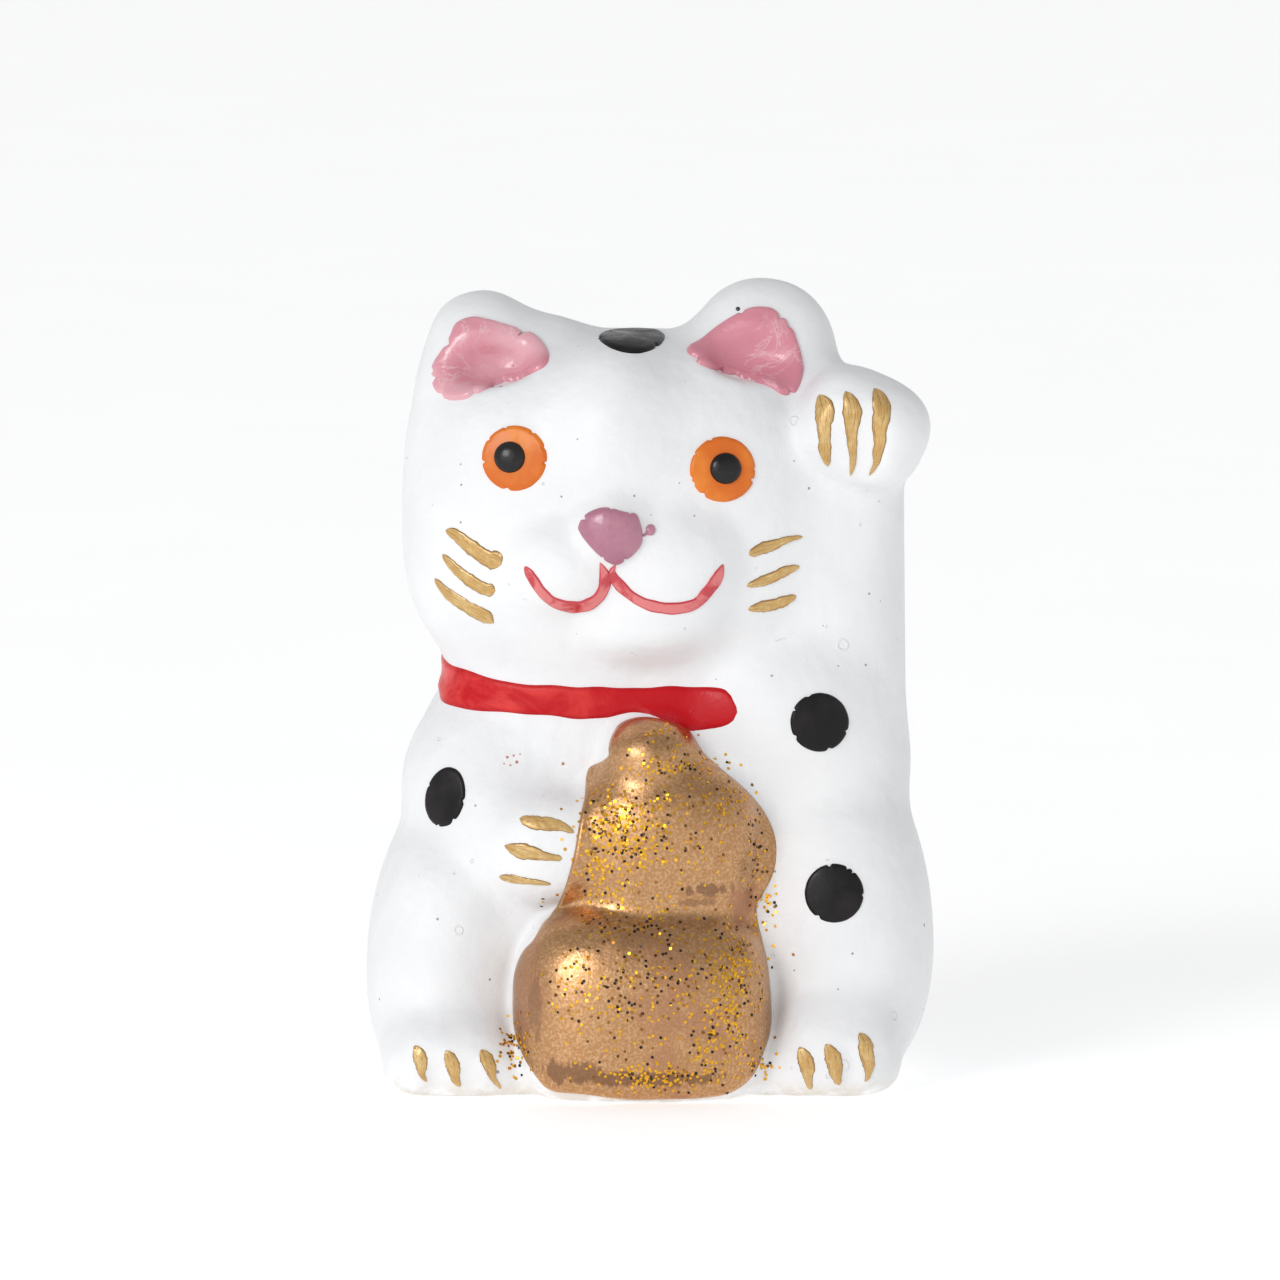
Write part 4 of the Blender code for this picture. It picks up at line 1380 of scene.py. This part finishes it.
@dataclass
class Spots(PaintedPart):
    """Round black spots of the coat."""

    black: Enamel = Enamel("spot_black_enamel", (0.008, 0.0075, 0.008), (0.022, 0.018, 0.02), Pattern.FLAT,
                           gloss=0.3, coat=0.0, sheen=0.2)
    radius: float = 1.85
    rise: float = 0.16

    def build(self) -> None:
        """Paint every spot."""
        wide = self.radius
        spots = {
            "shoulder": (ellipse((-12.8, 17.4), 1.25, 1.9, 12.0), Side.FRONT),
            "arm": (ellipse((10.7, 22.1), wide, wide), Side.FRONT),
            "thigh": (ellipse((11.6, 11.4), wide, wide), Side.FRONT),
            "head": (ellipse((-1.1, -3.0), 2.05, 3.8, 8.0), Side.TOP),
            "back_upper": (ellipse((3.5, 19.0), wide, wide), Side.BACK),
            "back_lower": (ellipse((-6.5, 9.5), wide, wide), Side.BACK),
        }
        for name, (loop, side) in spots.items():
            film = self.brush.dab(f"spot_{name}_paint", loop, side, self.rise, ragged=0.025, columns=140,
                                  nicks=5)
            self.keep(film, self.black, "black_enamel", f"spot_{name}")


@dataclass
class Collar(PaintedPart):
    """Red band round the neck, given as turns and heights."""

    red: Enamel = Enamel("collar_red_enamel", (0.52, 0.004, 0.01), (0.70, 0.045, 0.04), Pattern.FADE,
                         gloss=0.28, wave=0.06, coat=0.0, sheen=0.2)
    rise: float = 0.24
    top: list[Point2] = field(default_factory=lambda: [
        (35.5, 24.2), (34.5, 25.0), (31, 25.35), (12, 25.4), (-10, 25.3), (-30, 25.4), (-50, 25.6),
        (-66, 26.2), (-95, 26.6), (-140, 26.7), (-180, 26.7), (-215, 26.7)])
    bottom: list[Point2] = field(default_factory=lambda: [
        (35.5, 23.8), (34, 23.15), (30, 22.8), (20, 22.75), (13, 23.3), (7, 23.7), (0, 23.75), (-6, 23.6),
        (-12, 23.4), (-20, 23.4), (-45, 23.6), (-62, 23.7), (-95, 24.4), (-140, 24.5), (-180, 24.5),
        (-215, 24.5)])

    def build(self) -> None:
        """Paint the band."""
        film = self.brush.ribbon("collar_paint", self.top, self.bottom, self.rise, columns=260, rows=12,
                                 ragged=0.05)
        self.keep(film, self.red, "red_enamel", "collar")


@dataclass(frozen=True)
class Cluster:
    """A scatter of flakes: an ellipse in the drawing, how many lie in it and how many are dark."""

    centre: Point2
    spread: Point2
    count: int
    dark: float


@dataclass
class Gourd(PaintedPart):
    """The gold gourd with the foil flakes strewn on it and around it."""

    gold: GourdGold = GourdGold()
    foil: Foil = Foil()
    rise: float = 0.26
    flake: float = 0.105
    seed: int = 31
    tightness: float = 0.62
    dark_tones: Point2 = (0.0, 0.35)
    bright_tones: Point2 = (0.5, 1.0)
    tumble: float = 0.16
    sizes: Point2 = (0.85, 1.1)
    lift: float = 0.02
    skin: float = 0.8
    drop: float = 20.0
    outline: list[Point2] = field(default_factory=lambda: [
        (-1.7, 22.1), (-0.8, 22.4), (0.2, 22.4), (1.2, 22.2), (2.2, 21.8), (2.7, 21.3), (3.4, 20.2),
        (4.6, 19.1), (5.7, 18.2), (6.7, 17.2), (7.4, 16.2), (7.9, 15.0), (8.0, 13.8), (7.8, 12.6),
        (7.2, 11.4), (6.8, 10.7), (6.8, 9.8), (7.1, 8.5), (7.4, 6.8), (7.6, 4.5), (7.6, 2.8), (7.1, 1.3),
        (6.4, -0.1), (5.2, -1.0), (3.6, -1.3), (1.2, -1.4), (-1.5, -1.4), (-4.1, -1.1), (-6.1, -0.9),
        (-7.0, -0.1), (-7.9, 1.3), (-8.4, 2.8), (-8.5, 4.5), (-8.4, 6.3), (-7.9, 7.6), (-7.2, 8.4),
        (-6.7, 9.3), (-6.1, 10.0), (-5.4, 11.4), (-4.9, 13.0), (-4.6, 14.3), (-4.3, 16.2), (-4.0, 17.6),
        (-3.9, 18.8), (-3.7, 19.3), (-2.9, 19.7), (-2.4, 20.2), (-2.4, 20.8), (-2.1, 21.6)])
    clusters: list[Cluster] = field(default_factory=lambda: [Cluster(*row) for row in (
        ((-2.2, 15.8), (1.9, 1.7), 210, 0.3), ((-0.9, 14.6), (2.4, 1.4), 170, 0.45),
        ((-3.2, 13.2), (0.9, 1.2), 60, 0.2), ((0.2, 16.9), (2.4, 0.9), 70, 0.3),
        ((1.4, 19.4), (2.4, 0.8), 90, 0.3), ((1.0, 21.4), (1.3, 0.7), 24, 0.2),
        ((5.0, 17.0), (1.5, 1.2), 46, 0.35), ((6.6, 14.0), (0.6, 2.2), 44, 0.5),
        ((3.2, 14.2), (1.4, 1.8), 24, 0.3), ((-2.6, 11.0), (2.6, 1.0), 60, 0.3),
        ((-1.2, 9.4), (2.8, 1.0), 70, 0.6), ((0.4, 6.2), (3.4, 2.0), 130, 0.7),
        ((5.2, 6.6), (1.6, 2.6), 220, 0.25), ((4.6, 2.8), (1.8, 2.4), 150, 0.25),
        ((-4.6, 5.6), (1.6, 2.2), 60, 0.5), ((0.6, 0.1), (3.6, 0.7), 150, 0.3),
        ((-1.4, 3.2), (3.2, 1.8), 60, 0.4), ((-8.3, 1.8), (0.9, 1.4), 80, 0.25),
        ((7.4, 10.6), (0.6, 1.0), 26, 0.3), ((7.1, 0.9), (0.6, 0.9), 30, 0.4),
        ((1.2, 23.0), (1.6, 0.5), 8, 0.3), ((0.0, 9.0), (6.5, 7.5), 110, 0.4))])

    def scatter(self) -> tuple[np.ndarray, np.ndarray]:
        """Return where the flakes lie in the drawing, and the tone of each."""
        chance = np.random.default_rng(self.seed)
        spots, tones = [], []
        for cluster in self.clusters:
            places = chance.normal(size=(cluster.count, 2)) * np.array(cluster.spread) * self.tightness
            spots.append(np.array(cluster.centre) + places)
            dark = chance.random(cluster.count) < cluster.dark
            tones.append(np.where(dark, chance.uniform(*self.dark_tones, cluster.count),
                                  chance.uniform(*self.bright_tones, cluster.count)))
        return np.vstack(spots), np.concatenate(tones)

    def strew(self, coat: BVHTree) -> bpy.types.Object:
        """Lay a copy of one six-sided flake at every place.

        Args:
            coat: The coat's surface.

        Returns:
            The flakes, joined.
        """
        model = add_new(bpy.ops.mesh.primitive_cylinder_add, vertices=6, radius=self.flake * MM,
                        depth=self.flake * 0.2 * MM)
        shape = points_of(model)
        faces = [tuple(face.vertices) for face in model.data.polygons]
        bpy.data.objects.remove(model)
        spots, tones = self.scatter()
        places = self.brush.press(spots, Side.FRONT)
        chance = np.random.default_rng(self.seed + 1)
        points, corners, shades = [], [], []
        inward = Vector(Side.FRONT.value[2])
        for place, tone in zip(places, tones):
            start = (Vector(place) - inward * self.drop) * MM
            hit, facing, _, _ = coat.ray_cast(start, inward)
            way, _ = self.brush.casting.outward(place[None, :])
            if hit is not None and (hit - Vector(place) * MM).length < self.skin * MM:
                place, way = np.array(hit) / MM, np.array(facing)[None, :]
            out = Vector(way[0] + chance.normal(size=3) * self.tumble).normalized()
            spin = Matrix.Rotation(chance.uniform(0, ANY_ANGLE), 3, "Z")
            turn = out.to_track_quat("Z", "Y").to_matrix() @ spin
            first = len(points) * len(shape)
            size = chance.uniform(*self.sizes)
            points.append(shape @ np.array(turn).T * size + place + np.array(out) * self.lift)
            corners += [tuple(first + k for k in face) for face in faces]
            shades += [tone] * len(shape)
        mesh = bpy.data.meshes.new("foil_flakes")
        mesh.from_pydata((np.vstack(points) * MM).tolist(), [], corners)
        layer = mesh.attributes.new("tone", "FLOAT", "POINT")
        layer.data.foreach_set("value", np.array(shades, np.float32))
        flakes = bpy.data.objects.new("foil_flakes", mesh)
        bpy.context.collection.objects.link(flakes)
        return flakes

    def build(self) -> None:
        """Paint the gourd and strew the flakes."""
        coat = self.brush.dab("gourd_gold_paint", self.outline, Side.FRONT, self.rise, ragged=0.004,
                              dome=0.05, columns=280, rows=70)
        flakes = self.strew(surface_of(coat))
        self.keep(coat, self.gold, "gourd_gold", "gourd_coat")
        self.keep(flakes, self.foil, "gourd_gold")


@dataclass
class Strays(PaintedPart):
    """Small splashes of red, and one black speck by the right ear, that missed their place."""

    rust: Enamel = Enamel("stray_rust_enamel", (0.42, 0.13, 0.09), (0.55, 0.24, 0.16), Pattern.FLAT)
    places: list[Point3] = field(default_factory=lambda: [
        (-8.9, 19.9, 0.09), (-8.5, 20.0, 0.07), (-8.3, 19.6, 0.1), (-8.7, 19.4, 0.06), (-9.1, 19.5, 0.05),
        (-8.1, 20.1, 0.05), (-5.4, 19.5, 0.1), (3.1, 21.3, 0.08)])
    black: Enamel = Enamel("stray_black_enamel", (0.01, 0.01, 0.01), (0.03, 0.03, 0.03), Pattern.FLAT)
    ear_speck: Point3 = (5.6, 48.1, 0.14)

    def build(self) -> None:
        """Drop each splash and the speck."""
        drops = [self.brush.dab("stray", ellipse((x, y), size, size), Side.FRONT, 0.07, dome=1.0, columns=12,
                                rows=4) for x, y, size in self.places]
        self.keep(join(drops, "stray_splashes"), self.rust, "red_enamel")
        x, y, size = self.ear_speck
        speck = self.brush.dab("ear_speck", ellipse((x, y), size, size), Side.FRONT, 0.1, dome=1.0,
                               columns=16, rows=5)
        self.keep(speck, self.black, "black_enamel")


# Studio -----------------------------------------------------------------------------------


@dataclass
class Studio:
    """Pale floor that glows and lights the cat from below, soft light and the camera."""

    aim: Point3 = (0.0, 1.85, 25.0)
    distance: float = 600.0
    frame_width: float = 0.0635 * 1280
    shift: Point2 = (-9.0 / 1280, 39.0 / 1280)
    floor_size: float = 6000.0
    floor_gap: float = 0.03
    sun_way: Point3 = (-0.55, -0.8, 0.3)
    sun_energy: float = 0.55
    sun_spread: float = 50.0
    box_place: Point3 = (-520.0, -640.0, 420.0)
    box_size: float = 300.0
    box_power: float = 1.7
    sky_strength: float = 0.8
    # How strongly the floor glows, lighting the cat from below though it is no lamp.
    floor_glow: float = 0.42
    sensor: float = 36.0
    clip: Point2 = (0.01, 20.0)

    def add_floor(self) -> None:
        """Add the floor that the cat stands on; it glows, adding light to the cat from below."""
        floor = add_new(bpy.ops.mesh.primitive_plane_add, size=self.floor_size * MM,
                        location=(0.0, 0.0, -self.floor_gap * MM))
        floor.name = "studio_floor"
        # The floor paper glows in its own colour, adding light from below as painted light.
        material, bench, shader = start_material("glowing_floor_paper", Roughness=0.9,
                                                 Emission_Strength=self.floor_glow)
        colour = bench.mix(bench.noise(30.0, 4.0), (0.93, 0.93, 0.93), (0.96, 0.96, 0.96))
        bench.feed(shader, Base_Color=colour, Emission_Color=colour)
        floor.data.materials.append(material)

    def add_light(self) -> None:
        """Add a low sun and a soft box on the left, and a sky that dims overhead."""
        sun = add_new(bpy.ops.object.light_add, type="SUN")
        sun.data.energy = self.sun_energy
        sun.data.angle = math.radians(self.sun_spread)
        sun.rotation_euler = Vector(self.sun_way).to_track_quat("Z", "Y").to_euler()
        box = add_new(bpy.ops.object.light_add, type="AREA", location=Vector(self.box_place) * MM)
        box.data.energy = self.box_power
        box.data.size = self.box_size * MM
        away = Vector(self.box_place) - Vector(self.aim)
        box.rotation_euler = away.to_track_quat("Z", "Y").to_euler()
        world = bpy.data.worlds.new("studio_sky")
        world.use_nodes = True
        sky = world.node_tree.nodes["Background"]
        bench = Bench(world.node_tree)
        way = bench.add("ShaderNodeSeparateXYZ", {0: bench.add("ShaderNodeTexCoord").outputs["Generated"]})
        dome = bench.mix(bench.ramp(way.outputs["Z"], 0.1, 0.9), (0.98, 0.985, 1.0), (0.5, 0.505, 0.51))
        bench.feed(sky, Color=dome)
        sky.inputs["Strength"].default_value = self.sky_strength
        bpy.context.scene.world = world
        bpy.context.scene.view_settings.view_transform = "Standard"

    def add_camera(self) -> None:
        """Stand the camera in front, a little above."""
        back = Vector((0.0, -math.cos(VIEW_TILT), math.sin(VIEW_TILT)))
        right = Vector((1.0, 0.0, 0.0))
        turn = Matrix((right, back.cross(right), back)).transposed()
        place = (Vector(self.aim) + back * self.distance) * MM
        camera = add_new(bpy.ops.object.camera_add, location=place, rotation=turn.to_euler())
        camera.data.sensor_width = self.sensor
        camera.data.lens = self.sensor * self.distance / self.frame_width
        camera.data.shift_x, camera.data.shift_y = self.shift
        camera.data.clip_start, camera.data.clip_end = self.clip
        bpy.context.scene.camera = camera

    def build(self) -> None:
        """Set the studio up."""
        self.add_floor()
        self.add_light()
        self.add_camera()


def main() -> None:
    """Make the cat piece by piece and set it in the studio."""
    logging.basicConfig(level=logging.INFO, format="%(message)s")
    effects = Effects()
    casting = Casting()
    body = casting.build()
    brush = Brush(casting)
    for part in (Ears, Eyes, Muzzle, GoldStrokes, Spots, Collar, Gourd, Strays):
        part(brush, effects).build()
    body.data.materials.append(Bisque().make(effects))
    body.data.transform(Matrix.Translation(casting.seat))
    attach(body, "root")
    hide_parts("cast_body")
    LOG.info("%s: %d faces", body.name, len(body.data.polygons))
    Studio().build()
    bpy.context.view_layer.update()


if __name__ == "__main__":
    main()
